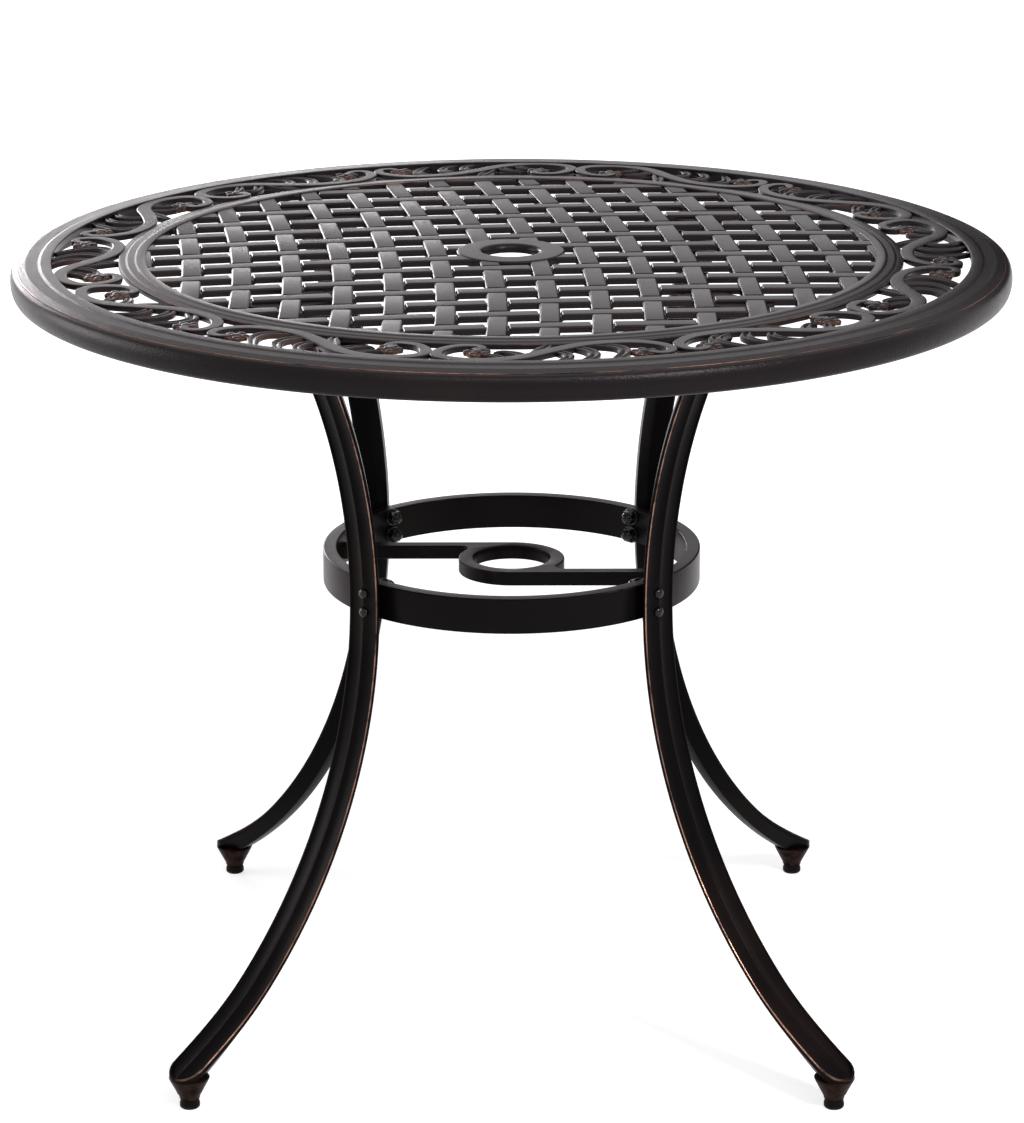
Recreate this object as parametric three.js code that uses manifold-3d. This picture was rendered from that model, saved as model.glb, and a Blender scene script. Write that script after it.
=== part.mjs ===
// Round cast patio table with an umbrella hole.
// Millimetres, +Z up. The origin is on the floor under the middle of the top.

import * as THREE from 'three';
import { mergeVertices } from 'three/addons/utils/BufferGeometryUtils.js';
import Module from 'manifold-3d';

const wasm = await Module();
wasm.setup();

// Whole table
const TOP_RADIUS = 451;
const TABLE_HEIGHT = 711;
const LEG_COUNT = 4;
const SEAT_GAP = 0.3;
const HOLE_CLEARANCE = 0.4;
const OVERRUN = 2;
const CUTTER_REACH = 70;
const WELD_DISTANCE = 0.001;
const STEPS_A_MILLIMETRE = 1024;

// Rim and apron of the top, from the outside in
const APRON_DEPTH = 27;
const APRON_WALL = 6;
const APRON_BULGE = 6;
const RIM_SLOPE_WIDTH = 8;
const RIM_SLOPE_DROP = 2;
const RIM_OUTER_BAND = 9;
const RIM_GROOVE_WIDTH = 2;
const RIM_GROOVE_DEPTH = 1.2;
const RIM_INNER_BAND = 12;
const RIM_THICKNESS = 6;
const RIM_SEGMENTS = 56;

// Scroll border of the top
const SCROLL_WIDTH = 60;
const RIBBON_SINK = 0.8;
const RIBBON_THICKNESS = 5;
const LEAF_SINK = 1.5;
const LEAF_THICKNESS = 4;
const EYE_SINK = 0.5;
const EYE_THICKNESS = 5.6;
const SCROLL_CELLS = 12;
const SCROLL_TURN = THREE.MathUtils.degToRad(15);
const RIBBON_WIDTH = 13;
const LEAF_WIDTH = 8;
const VOLUTE_EYE_RADIUS = 7;

// Beaded ring of the top
const BEAD_RING_WIDTH = 24;
const BEAD_RING_DEPTH = 8;
const BEAD_GROOVES = 2;
const BEAD_GROOVE_WIDTH = 2;
const BEAD_GROOVE_DEPTH = 1;
const BEAD_RING_SEGMENTS = 42;

// Woven lattice of the top
const STRAPS_A_SIDE = 7;
const STRAP_PITCH_SHARE = 0.1345;
const STRAP_WIDTH_SHARE = 0.4;
const STRAP_THICKNESS = 5;
const STRAP_BELLY = 0.4;
const LINK_REACH_SHARE = 0.95;
const STRAP_BOW_RADIUS = 2630;
const STRAP_ROOT = 4;
const WEAVE_DIP = 2;
const LATTICE_SINK = 0.4;

// Umbrella collar of the top
const COLLAR_RADIUS = 49;
const COLLAR_DEPTH = 8;
const UMBRELLA_HOLE_RADIUS = 25;
const UMBRELLA_LIP = 3;

// The pattern of the top is cast a few degrees round from the legs
const PATTERN_TURN = THREE.MathUtils.degToRad(5.5);

// Leg pads under the top
const PAD_LENGTH = 84;
const PAD_WIDTH = 44;
const PAD_THICKNESS = 9;
const PAD_SINK = 4;
const PAD_CORNER = 8;

// Hoop, brace and umbrella guide
const RING_RADIUS = 174;
const RING_WALL = 13;
const RING_HEIGHT = 32;
const RING_MIDDLE_HEIGHT = 418;
const BRACE_DROP = 13;
const BRACE_BAR_WIDTH = 13;
const BRACE_BAR_HEIGHT = 13;
const GUIDE_HOLE_RADIUS = 36;

// Legs
const LEG_WIDTH = 36;
const LEG_DEPTH = 13;
const LEG_EDGE = 3.5;
const LEG_BACK_WIDTH = 14;
const LEG_LIP = 2.2;
const CHANNEL_DEPTH = 1.8;
const CHANNEL_WALL_RUN = 1;
const RIDGE_DROP = 0.2;
const LEG_TOE_HEIGHT = 19.6;
const LEG_UPPER_RADIUS = 510;
const LEG_STEPS = 20;
const FOOT_RADIUS = 402;
const TOE_RADIUS = 18;

// Flange on top of each leg
const FLANGE_LENGTH = 78;
const FLANGE_WIDTH = 38;
const FLANGE_THICKNESS = 6;
const FLANGE_CORNER = 7;
const FLANGE_LEAD = 1;
const TOP_BOLT_SPACING = 56;

// Foot cup and levelling glide
const CUP_HEIGHT = 20;
const CUP_NECK_RADIUS = 9.2;
const CUP_NECK_HEIGHT = 2;
const TOE_INSET = 0.4;
const CUP_WELL_DEPTH = 17;
const GLIDE_RADIUS = 9;
const GLIDE_HEIGHT = 8.5;
const GLIDE_SOLE_RADIUS = 7.6;
const GLIDE_SOLE_BEVEL = 1.4;
const GLIDE_NECK_GROOVE = 0.6;
const GLIDE_NECK_HEIGHT = 2;
const STUD_RADIUS = 4;
const STUD_LENGTH = 21;
const STUD_FLOOR = 3;

// Screws, washers and nuts
const SCREW_RADIUS = 3;
const RING_BOLT_SPACING = 17.5;
const RING_BOLT_HEAD_RADIUS = 5.2;
const RING_BOLT_HEAD_HEIGHT = 3.6;
const SPOT_FACE_RADIUS = 6.2;
const SPOT_FACE_DEPTH = 1;
const WASHER_RADIUS = 8;
const WASHER_THICKNESS = 1.5;
const NUT_FLAT_RADIUS = 5.6;
const NUT_HEIGHT = 5;
const NUT_DOME_RADIUS = 4.6;
const NUT_CROWN = 1.2;
const NUT_REACH = 5.5;
const TOP_BOLT_HEX_RADIUS = 5.6;
const TOP_BOLT_HEX_HEIGHT = 4;
const TOP_BOLT_COLLAR_RADIUS = 6.8;
const TOP_BOLT_COLLAR_HEIGHT = 1.4;
const TOP_BOLT_REACH = 6.5;
const TAP_DEPTH = 7.2;

// Facets round the small turned pieces
const SMALL_SEGMENTS = 8;
const FOOT_SEGMENTS = 16;
const GUIDE_SEGMENTS = 28;
const COLLAR_SEGMENTS = 24;
const HEX_SEGMENTS = 6;
const DOME_ARC_STEPS = 3;
const CORNER_STEPS = 2;
const CROSSING_ROUNDS = 4;
const HOOP_SEGMENTS = 48;
const BULGE_ARC_STEPS = 4;
const SCROLL_STEPS = 14;

// One scroll cell runs from one cusp of the border (0) to the next (1), and from
// the beaded ring (0) out to the rim (1). The third number is a share of the width.
const RIBBON_SHARES = [
  [0.165, 0.35, 0.55],
  [0.203, 0.25, 0.58],
  [0.178, 0.13, 0.62],
  [0.125, 0.12, 0.68],
  [0.075, 0.19, 0.72],
  [0.032, 0.4, 0.8],
  [0.026, 0.65, 0.84],
  [0.075, 0.83, 0.88],
  [0.18, 0.93, 0.92],
  [0.285, 0.875, 1],
  [0.374, 0.72, 1.06],
  [0.455, 0.48, 1.08],
  [0.545, 0.265, 1.04],
  [0.635, 0.115, 0.96],
  [0.75, 0.06, 0.9],
  [0.865, 0.115, 0.86],
  [0.94, 0.29, 0.82],
  [0.974, 0.49, 0.78],
  [0.97, 0.69, 0.7],
  [0.938, 0.81, 0.62],
  [0.9, 0.79, 0.58],
  [0.878, 0.68, 0.55],
];
const LEAF_SHARES = [
  [[0.635, 0.115, 1.2], [0.79, 0.45, 1.1], [0.73, 0.93, 0.7]],
  [[0.545, 0.265, 1.2], [0.64, 0.62, 1.05], [0.56, 1.02, 0.6]],
  [[0.455, 0.48, 1.1], [0.525, 0.72, 0.95], [0.475, 1.02, 0.6]],
  [[0.374, 0.72, 1], [0.335, 0.52, 1.1], [0.275, 0.4, 0.7]],
  [[0.43, 0.6, 1], [0.45, -0.03, 0.8]],
];

// Materials
const bronze = new THREE.MeshStandardMaterial({ color: 0x2b2526, roughness: 0.42, metalness: 0.75 });
const blackened = new THREE.MeshStandardMaterial({ color: 0x17171a, roughness: 0.35, metalness: 0.85 });
const zinc = new THREE.MeshStandardMaterial({ color: 0x8e9094, roughness: 0.4, metalness: 0.9 });
const nylon = new THREE.MeshStandardMaterial({ color: 0x121214, roughness: 0.7, metalness: 0 });

// Places worked out from the sizes above
const RIM_SLOPE_RADIUS = TOP_RADIUS - APRON_BULGE;
const RIM_BAND_RADIUS = RIM_SLOPE_RADIUS - RIM_SLOPE_WIDTH;
const RIM_GROOVE_RADIUS = RIM_BAND_RADIUS - RIM_OUTER_BAND;
const RIM_INNER_RADIUS = RIM_GROOVE_RADIUS - RIM_GROOVE_WIDTH - RIM_INNER_BAND;
const BEAD_RING_RADIUS = RIM_INNER_RADIUS - SCROLL_WIDTH;
const LATTICE_RADIUS = BEAD_RING_RADIUS - BEAD_RING_WIDTH;
const STRAP_PITCH = LATTICE_RADIUS * STRAP_PITCH_SHARE;
const STRAP_WIDTH = STRAP_PITCH * STRAP_WIDTH_SHARE;
const PAD_BOTTOM = TABLE_HEIGHT - PAD_SINK - PAD_THICKNESS;
const FLANGE_TOP = PAD_BOTTOM - SEAT_GAP;
const FLANGE_BOTTOM = FLANGE_TOP - FLANGE_THICKNESS;
const HOOP_FLATNESS = Math.cos(Math.PI / HOOP_SEGMENTS);
const LEG_BACK_RADIUS = RING_RADIUS * HOOP_FLATNESS + SEAT_GAP;
const SPOT_FACE_PLACE = LEG_BACK_RADIUS + LEG_DEPTH - RIDGE_DROP - SPOT_FACE_DEPTH;
const CUP_BOTTOM = GLIDE_HEIGHT + SEAT_GAP;
const RING_INNER_RADIUS = RING_RADIUS - RING_WALL;
const HOLE_RADIUS = (SCREW_RADIUS + HOLE_CLEARANCE) / Math.cos(Math.PI / SMALL_SEGMENTS);

// Distance out from the middle at which the leg's back line reaches a height above the waist
function backLineAt(height) {
  const rise = height - RING_MIDDLE_HEIGHT;
  const reach = Math.sqrt(LEG_UPPER_RADIUS ** 2 - rise ** 2);
  return LEG_BACK_RADIUS + LEG_UPPER_RADIUS - reach;
}

const FLANGE_PLACE = backLineAt(FLANGE_BOTTOM) + LEG_DEPTH / 2 + FLANGE_LEAD;

// The lower arc leaves the waist upright and passes the foot's axis at the toe's height
const FOOT_REACH = FOOT_RADIUS - LEG_BACK_RADIUS;
const FOOT_DROP = RING_MIDDLE_HEIGHT - LEG_TOE_HEIGHT;
const LEG_LOWER_RADIUS = (FOOT_REACH ** 2 + FOOT_DROP ** 2) / (2 * FOOT_REACH);

// Closed geometry to a solid that can be joined and cut
function solid(geometry) {
  const bare = geometry.clone();
  bare.deleteAttribute('normal');
  bare.deleteAttribute('uv');
  const welded = mergeVertices(bare, WELD_DISTANCE);
  const mesh = new wasm.Mesh({
    numProp: 3,
    vertProperties: new Float32Array(welded.attributes.position.array),
    triVerts: new Uint32Array(welded.index.array),
  });
  return new wasm.Manifold(mesh);
}

function joined(solids) {
  return solids.reduce((whole, piece) => whole.add(piece));
}

// Solid to a named mesh
function piece(name, body, material) {
  const { vertProperties, triVerts } = body.getMesh();
  const geometry = new THREE.BufferGeometry();
  geometry.setAttribute('position', new THREE.BufferAttribute(vertProperties, 3));
  geometry.setIndex(new THREE.BufferAttribute(triVerts, 1));
  geometry.computeVertexNormals();
  const mesh = new THREE.Mesh(geometry, material);
  mesh.name = name;
  return mesh;
}

// Profile of [radius, height] pairs turned round the Z axis
function turned(profile, segments) {
  const points = profile.map(([radius, height]) => new THREE.Vector2(radius, height));
  return new THREE.LatheGeometry(points, segments).rotateX(Math.PI / 2);
}

function rod(radius, bottom, top, segments) {
  return turned([[0, bottom], [radius, bottom], [radius, top], [0, top]], segments);
}

// Box from its low corner to its high corner
function block(low, high) {
  const size = high.map((value, axis) => value - low[axis]);
  const middle = high.map((value, axis) => (value + low[axis]) / 2);
  return new THREE.BoxGeometry(...size).translate(...middle);
}

// Plate with round corners, its top face at the given height
function roundedPlate(length, width, corner, top, thickness) {
  const x = length / 2 - corner;
  const y = width / 2 - corner;
  const shape = new THREE.Shape();
  shape.absarc(x, y, corner, 0, Math.PI / 2);
  shape.absarc(-x, y, corner, Math.PI / 2, Math.PI);
  shape.absarc(-x, -y, corner, Math.PI, (3 * Math.PI) / 2);
  shape.absarc(x, -y, corner, (3 * Math.PI) / 2, 2 * Math.PI);
  const options = { depth: thickness, bevelEnabled: false, curveSegments: CORNER_STEPS };
  return new THREE.ExtrudeGeometry(shape, options).translate(0, 0, top - thickness);
}

// The top is modelled in a frame of its own, with its highest face at a height of 0.
// Its rim has two flat bands, a groove between them, a sloping shoulder and a rounded apron.
function rimSolid() {
  const bottom = -APRON_DEPTH;
  const halfBulge = (APRON_DEPTH - RIM_SLOPE_DROP) / 2;
  const bulge = [];
  for (let step = 1; step < BULGE_ARC_STEPS; step += 1) {
    const angle = (step / BULGE_ARC_STEPS - 1 / 2) * Math.PI;
    const radius = RIM_SLOPE_RADIUS + APRON_BULGE * Math.cos(angle);
    bulge.push([radius, bottom + halfBulge + halfBulge * Math.sin(angle)]);
  }
  const profile = [
    [RIM_INNER_RADIUS, -RIM_THICKNESS],
    [RIM_SLOPE_RADIUS - APRON_WALL, -RIM_THICKNESS],
    [RIM_SLOPE_RADIUS - APRON_WALL, bottom],
    [RIM_SLOPE_RADIUS, bottom],
    ...bulge,
    [RIM_SLOPE_RADIUS, -RIM_SLOPE_DROP],
    [RIM_BAND_RADIUS, 0],
    [RIM_GROOVE_RADIUS, 0],
    [RIM_GROOVE_RADIUS - RIM_GROOVE_WIDTH / 2, -RIM_GROOVE_DEPTH],
    [RIM_GROOVE_RADIUS - RIM_GROOVE_WIDTH, 0],
    [RIM_INNER_RADIUS, 0],
    [RIM_INNER_RADIUS, -RIM_THICKNESS],
  ];
  return solid(turned(profile, RIM_SEGMENTS).rotateZ(-PATTERN_TURN));
}

// Flat ring between the scrolls and the lattice, with V grooves turned in its top
function beadRingSolid() {
  const bottom = -BEAD_RING_DEPTH;
  const bead = BEAD_RING_WIDTH / (BEAD_GROOVES + 1);
  const grooves = [];
  for (let count = BEAD_GROOVES; count > 0; count -= 1) {
    const middle = LATTICE_RADIUS + count * bead;
    grooves.push([middle + BEAD_GROOVE_WIDTH / 2, 0]);
    grooves.push([middle, -BEAD_GROOVE_DEPTH]);
    grooves.push([middle - BEAD_GROOVE_WIDTH / 2, 0]);
  }
  const profile = [
    [LATTICE_RADIUS, bottom],
    [BEAD_RING_RADIUS, bottom],
    [BEAD_RING_RADIUS, 0],
    ...grooves,
    [LATTICE_RADIUS, 0],
    [LATTICE_RADIUS, bottom],
  ];
  return solid(turned(profile, BEAD_RING_SEGMENTS));
}

// How far a bowed strap falls back from its middle at a distance along it
function bow(along) {
  return STRAP_BOW_RADIUS - Math.sqrt(STRAP_BOW_RADIUS ** 2 - along ** 2);
}

function strapOffset(index) {
  return (index - STRAPS_A_SIDE + 1 / 2) * STRAP_PITCH;
}

// Where the upright strap and the level strap of these numbers cross
function crossing(upright, level) {
  const point = new THREE.Vector2(strapOffset(upright), strapOffset(level));
  for (let round = 0; round < CROSSING_ROUNDS; round += 1) {
    const x = strapOffset(upright) - bow(point.y);
    const y = strapOffset(level) - bow(point.x);
    point.set(x, y);
  }
  return point;
}

// Vector in whole binary steps, so that sums of such vectors carry no rounding error
function stepped(vector) {
  return vector.clone().multiplyScalar(STEPS_A_MILLIMETRE).round().divideScalar(STEPS_A_MILLIMETRE);
}

// Side view of a link, its length running from -1 to 1: a ridge on top and a belly underneath
function linkShape() {
  const top = -LATTICE_SINK;
  const bottom = top - STRAP_THICKNESS;
  const corners = [
    [1, top - WEAVE_DIP],
    [0, top],
    [-1, top - WEAVE_DIP],
    [-1, bottom + STRAP_BELLY],
    [0, bottom],
    [1, bottom + STRAP_BELLY],
  ];
  return new THREE.Shape(corners.map(([along, height]) => new THREE.Vector2(along, height)));
}

// Length of strap that shows on top at a crossing: it rises from under one neighbour,
// passes over the crossing strap and dips under the next neighbour
function linkSolid(upright, level) {
  const isUpright = (upright + level) % 2 === 0;
  const from = isUpright ? crossing(upright, level - 1) : crossing(upright - 1, level);
  const to = isUpright ? crossing(upright, level + 1) : crossing(upright + 1, level);
  const middle = stepped(from.clone().add(to).divideScalar(2));
  const reach = stepped(to.clone().sub(middle).multiplyScalar(LINK_REACH_SHARE));
  const side = stepped(new THREE.Vector2(reach.y, -reach.x).setLength(STRAP_WIDTH / 2));
  const link = new THREE.ExtrudeGeometry(linkShape(), { depth: 2, bevelEnabled: false });
  const along = new THREE.Vector3(reach.x, reach.y, 0);
  const across = new THREE.Vector3(side.x, side.y, 0);
  const placing = new THREE.Matrix4().makeBasis(along, new THREE.Vector3(0, 0, 1), across);
  placing.setPosition(middle.x, middle.y, 0);
  return solid(link.translate(0, 0, -1).applyMatrix4(placing));
}

// The straps' numbers run one past the last strap, for the strap ends at the beaded ring
function latticeSolid() {
  const links = [];
  const reach = LATTICE_RADIUS + STRAP_ROOT;
  for (let upright = -1; upright <= 2 * STRAPS_A_SIDE; upright += 1) {
    for (let level = -1; level <= 2 * STRAPS_A_SIDE; level += 1) {
      if (crossing(upright, level).length() < reach + STRAP_PITCH) {
        links.push(linkSolid(upright, level));
      }
    }
  }
  const disc = rod(reach, -COLLAR_DEPTH, OVERRUN, BEAD_RING_SEGMENTS);
  return joined(links).intersect(solid(disc));
}

// Point of the scroll border from its cell and shares
function borderPoint(cell, alongShare, acrossShare) {
  const cellAngle = (2 * Math.PI) / SCROLL_CELLS;
  const isMirrored = cell % 2 === 1;
  const along = isMirrored ? 1 - alongShare : alongShare;
  const angle = SCROLL_TURN + (cell + along) * cellAngle;
  const radius = BEAD_RING_RADIUS + acrossShare * SCROLL_WIDTH;
  return new THREE.Vector2(radius * Math.cos(angle), radius * Math.sin(angle));
}

// Ribbon of changing width along a smooth line through the points
function ribbonSolid(points, widths, steps, sink, thickness) {
  const line = new THREE.SplineCurve(points);
  const left = [];
  const right = [];
  for (let step = 0; step <= steps; step += 1) {
    const share = step / steps;
    const place = share * (widths.length - 1);
    const before = Math.min(Math.floor(place), widths.length - 2);
    const width = THREE.MathUtils.lerp(widths[before], widths[before + 1], place - before);
    const tangent = line.getTangent(share);
    const side = new THREE.Vector2(-tangent.y, tangent.x).multiplyScalar(width / 2);
    const middle = line.getPoint(share);
    left.push(middle.clone().add(side));
    right.push(middle.clone().sub(side));
  }
  const shape = new THREE.Shape([...left, ...right.reverse()]);
  const options = { depth: thickness, bevelEnabled: false };
  return solid(new THREE.ExtrudeGeometry(shape, options).translate(0, 0, -sink - thickness));
}

function scrollRibbon(cell) {
  const points = RIBBON_SHARES.map(([along, across]) => borderPoint(cell, along, across));
  const widths = RIBBON_SHARES.map(([, , widthShare]) => widthShare * RIBBON_WIDTH);
  return ribbonSolid(points, widths, SCROLL_STEPS, RIBBON_SINK, RIBBON_THICKNESS);
}

function scrollLeaf(cell, shares) {
  const points = shares.map(([along, across]) => borderPoint(cell, along, across));
  const widths = shares.map(([, , widthShare]) => widthShare * LEAF_WIDTH);
  return ribbonSolid(points, widths, shares.length - 1, LEAF_SINK, LEAF_THICKNESS);
}

function scrollEye(cell, [along, across]) {
  const { x, y } = borderPoint(cell, along, across);
  const eye = rod(VOLUTE_EYE_RADIUS, -EYE_SINK - EYE_THICKNESS, -EYE_SINK, SMALL_SEGMENTS);
  return solid(eye.translate(x, y, 0));
}

// S scroll with an eye at each end and five leaves springing from it
function scrollCell(cell) {
  const eyes = [RIBBON_SHARES.at(0), RIBBON_SHARES.at(-1)].map((shares) => scrollEye(cell, shares));
  const leaves = LEAF_SHARES.map((shares) => scrollLeaf(cell, shares));
  return joined([scrollRibbon(cell), ...eyes, ...leaves]);
}

function scrollBorderSolid() {
  const cells = [];
  for (let cell = 0; cell < SCROLL_CELLS; cell += 1) {
    cells.push(scrollCell(cell));
  }
  return joined(cells);
}

function legAngle(index) {
  return ((index + 1 / 2) * 2 * Math.PI) / LEG_COUNT;
}

// Places of the two screws that hold each leg to the top
function topBoltPlaces() {
  return [FLANGE_PLACE - TOP_BOLT_SPACING / 2, FLANGE_PLACE + TOP_BOLT_SPACING / 2];
}

function legPads() {
  const pads = [];
  for (let leg = 0; leg < LEG_COUNT; leg += 1) {
    const pad = roundedPlate(PAD_LENGTH, PAD_WIDTH, PAD_CORNER, -PAD_SINK, PAD_THICKNESS);
    pads.push(solid(pad.translate(FLANGE_PLACE, 0, 0).rotateZ(legAngle(leg) - PATTERN_TURN)));
  }
  return joined(pads);
}

function padTaps() {
  const bottom = -PAD_SINK - PAD_THICKNESS;
  const taps = [];
  for (let leg = 0; leg < LEG_COUNT; leg += 1) {
    for (const place of topBoltPlaces()) {
      const tap = rod(HOLE_RADIUS, bottom - OVERRUN, bottom + TAP_DEPTH, SMALL_SEGMENTS);
      taps.push(solid(tap.translate(place, 0, 0).rotateZ(legAngle(leg) - PATTERN_TURN)));
    }
  }
  return joined(taps);
}

// Umbrella hole with a flared mouth
function umbrellaHole() {
  const profile = [
    [0, -COLLAR_DEPTH - OVERRUN],
    [UMBRELLA_HOLE_RADIUS, -COLLAR_DEPTH - OVERRUN],
    [UMBRELLA_HOLE_RADIUS, -UMBRELLA_LIP],
    [UMBRELLA_HOLE_RADIUS + UMBRELLA_LIP, 0],
    [UMBRELLA_HOLE_RADIUS + UMBRELLA_LIP, OVERRUN],
    [0, OVERRUN],
  ];
  return solid(turned(profile, COLLAR_SEGMENTS));
}

function tableTop() {
  const collar = solid(rod(COLLAR_RADIUS, -COLLAR_DEPTH, 0, COLLAR_SEGMENTS));
  const parts = [latticeSolid(), scrollBorderSolid(), rimSolid(), beadRingSolid(), collar, legPads()];
  const cast = joined(parts).subtract(umbrellaHole()).subtract(padTaps());
  const mesh = piece('table_top', cast, bronze);
  mesh.position.z = TABLE_HEIGHT;
  mesh.rotation.z = PATTERN_TURN;
  return mesh;
}

// Line up the middle of the leg's back, from the toe to the flange, in the leg's own upright plane
class BackLine extends THREE.Curve {
  constructor() {
    super();
    const toeReach = FOOT_RADIUS + TOE_RADIUS + LEG_DEPTH - LEG_BACK_RADIUS;
    this.lowerAngle = Math.acos(1 - toeReach / LEG_LOWER_RADIUS);
    this.upperAngle = Math.asin((PAD_BOTTOM + LEG_DEPTH - RING_MIDDLE_HEIGHT) / LEG_UPPER_RADIUS);
    this.lowerLength = this.lowerAngle * LEG_LOWER_RADIUS;
    this.length = this.lowerLength + this.upperAngle * LEG_UPPER_RADIUS;
  }

  getPoint(share, target = new THREE.Vector3()) {
    const above = share * this.length - this.lowerLength;
    const radius = above < 0 ? LEG_LOWER_RADIUS : LEG_UPPER_RADIUS;
    const angle = above / radius;
    const x = LEG_BACK_RADIUS + radius * (1 - Math.cos(angle));
    return target.set(x, 0, RING_MIDDLE_HEIGHT + radius * Math.sin(angle));
  }
}

// Section drawn as [across, out from the back] pairs, swept along the leg
function sweptAlongLeg(section) {
  const shape = new THREE.Shape(section.map(([across, out]) => new THREE.Vector2(across, out)));
  const options = { steps: LEG_STEPS, extrudePath: new BackLine() };
  return solid(new THREE.ExtrudeGeometry(shape, options));
}

// Flat back, slanted flanks and two lips, with two channels and a ridge between them if wanted
function legSection(hasChannels) {
  const edge = LEG_DEPTH - LEG_EDGE;
  const mouth = LEG_WIDTH / 2 - LEG_LIP;
  const foot = mouth - CHANNEL_WALL_RUN;
  const channels = [
    [mouth, LEG_DEPTH],
    [foot, LEG_DEPTH - CHANNEL_DEPTH],
    [0, LEG_DEPTH - RIDGE_DROP],
    [-foot, LEG_DEPTH - CHANNEL_DEPTH],
    [-mouth, LEG_DEPTH],
  ];
  return [
    [-LEG_BACK_WIDTH / 2, 0],
    [LEG_BACK_WIDTH / 2, 0],
    [LEG_WIDTH / 2, edge],
    [LEG_WIDTH / 2, LEG_DEPTH],
    ...(hasChannels ? channels : []),
    [-LEG_WIDTH / 2, LEG_DEPTH],
    [-LEG_WIDTH / 2, edge],
  ];
}

// What lies outside a shape turned round the foot's axis, on the far side of it
function pastToe(profile) {
  const low = [FOOT_RADIUS, -CUTTER_REACH, -CUTTER_REACH];
  const beyond = block(low, [FOOT_RADIUS + CUTTER_REACH, CUTTER_REACH, CUTTER_REACH]);
  return solid(beyond).subtract(solid(turned(profile, FOOT_SEGMENTS).translate(FOOT_RADIUS, 0, 0)));
}

// Round end of the channels, a lip's width inside the toe
function insideLip() {
  const reach = CUTTER_REACH + OVERRUN;
  const radius = TOE_RADIUS - LEG_LIP;
  return [[0, -reach], [radius, -reach], [radius, reach], [0, reach]];
}

// Round end of the leg, just inside the cup and straight above it
function insideToe() {
  const reach = CUTTER_REACH + OVERRUN;
  const neck = CUP_NECK_RADIUS - TOE_INSET;
  const toe = TOE_RADIUS - TOE_INSET;
  const cone = [[neck, CUP_BOTTOM], [toe, CUP_BOTTOM + CUP_HEIGHT]];
  return [[0, -reach], [neck, -reach], ...cone, [toe, reach], [0, reach]];
}

// What lies above a height at the top of the leg, to be cut off a sweep
function aboveTop(height) {
  const high = [FOOT_RADIUS + CUTTER_REACH, CUTTER_REACH, height + CUTTER_REACH];
  return solid(block([0, -CUTTER_REACH, height], high));
}

function cupSolid() {
  const profile = [
    [0, CUP_BOTTOM],
    [CUP_NECK_RADIUS, CUP_BOTTOM],
    [CUP_NECK_RADIUS, CUP_BOTTOM + CUP_NECK_HEIGHT],
    [TOE_RADIUS, CUP_BOTTOM + CUP_HEIGHT],
    [0, CUP_BOTTOM + CUP_HEIGHT],
  ];
  return solid(turned(profile, FOOT_SEGMENTS).translate(FOOT_RADIUS, 0, 0));
}

function cupWell() {
  const radius = (STUD_RADIUS + SEAT_GAP) / Math.cos(Math.PI / SMALL_SEGMENTS);
  const well = rod(radius, CUP_BOTTOM - OVERRUN, CUP_BOTTOM + CUP_WELL_DEPTH, SMALL_SEGMENTS);
  return solid(well.translate(FOOT_RADIUS, 0, 0));
}

function ringBoltHeights() {
  return [RING_MIDDLE_HEIGHT - RING_BOLT_SPACING / 2, RING_MIDDLE_HEIGHT + RING_BOLT_SPACING / 2];
}

// Level holes for the two screws through a leg and the hoop
function ringBoltHoles(radius, from, to, angle = 0) {
  const holes = ringBoltHeights().map((height) => {
    const hole = rod(radius, from, to, SMALL_SEGMENTS).rotateY(Math.PI / 2);
    return solid(hole.translate(0, 0, height).rotateZ(angle));
  });
  return joined(holes);
}

function flangeSolid() {
  const plate = roundedPlate(FLANGE_LENGTH, FLANGE_WIDTH, FLANGE_CORNER, FLANGE_TOP, FLANGE_THICKNESS);
  const holes = topBoltPlaces().map((place) => {
    const hole = rod(HOLE_RADIUS, FLANGE_BOTTOM - OVERRUN, FLANGE_TOP + OVERRUN, SMALL_SEGMENTS);
    return solid(hole.translate(place, 0, 0));
  });
  return solid(plate.translate(FLANGE_PLACE, 0, 0)).subtract(joined(holes));
}

// One leg in its own upright plane, reaching out along +X
function legSolid() {
  const lip = sweptAlongLeg(legSection(false)).intersect(pastToe(insideLip()));
  const bar = sweptAlongLeg(legSection(true)).add(lip).subtract(pastToe(insideToe()));
  const outside = LEG_BACK_RADIUS + LEG_DEPTH + OVERRUN;
  const holes = ringBoltHoles(HOLE_RADIUS, RING_RADIUS - OVERRUN, outside);
  const spots = ringBoltHoles(SPOT_FACE_RADIUS, SPOT_FACE_PLACE, outside);
  const cut = bar.subtract(aboveTop(FLANGE_TOP - FLANGE_THICKNESS / 2)).subtract(holes).subtract(spots);
  return joined([cut, cupSolid(), flangeSolid()]).subtract(cupWell());
}

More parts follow.
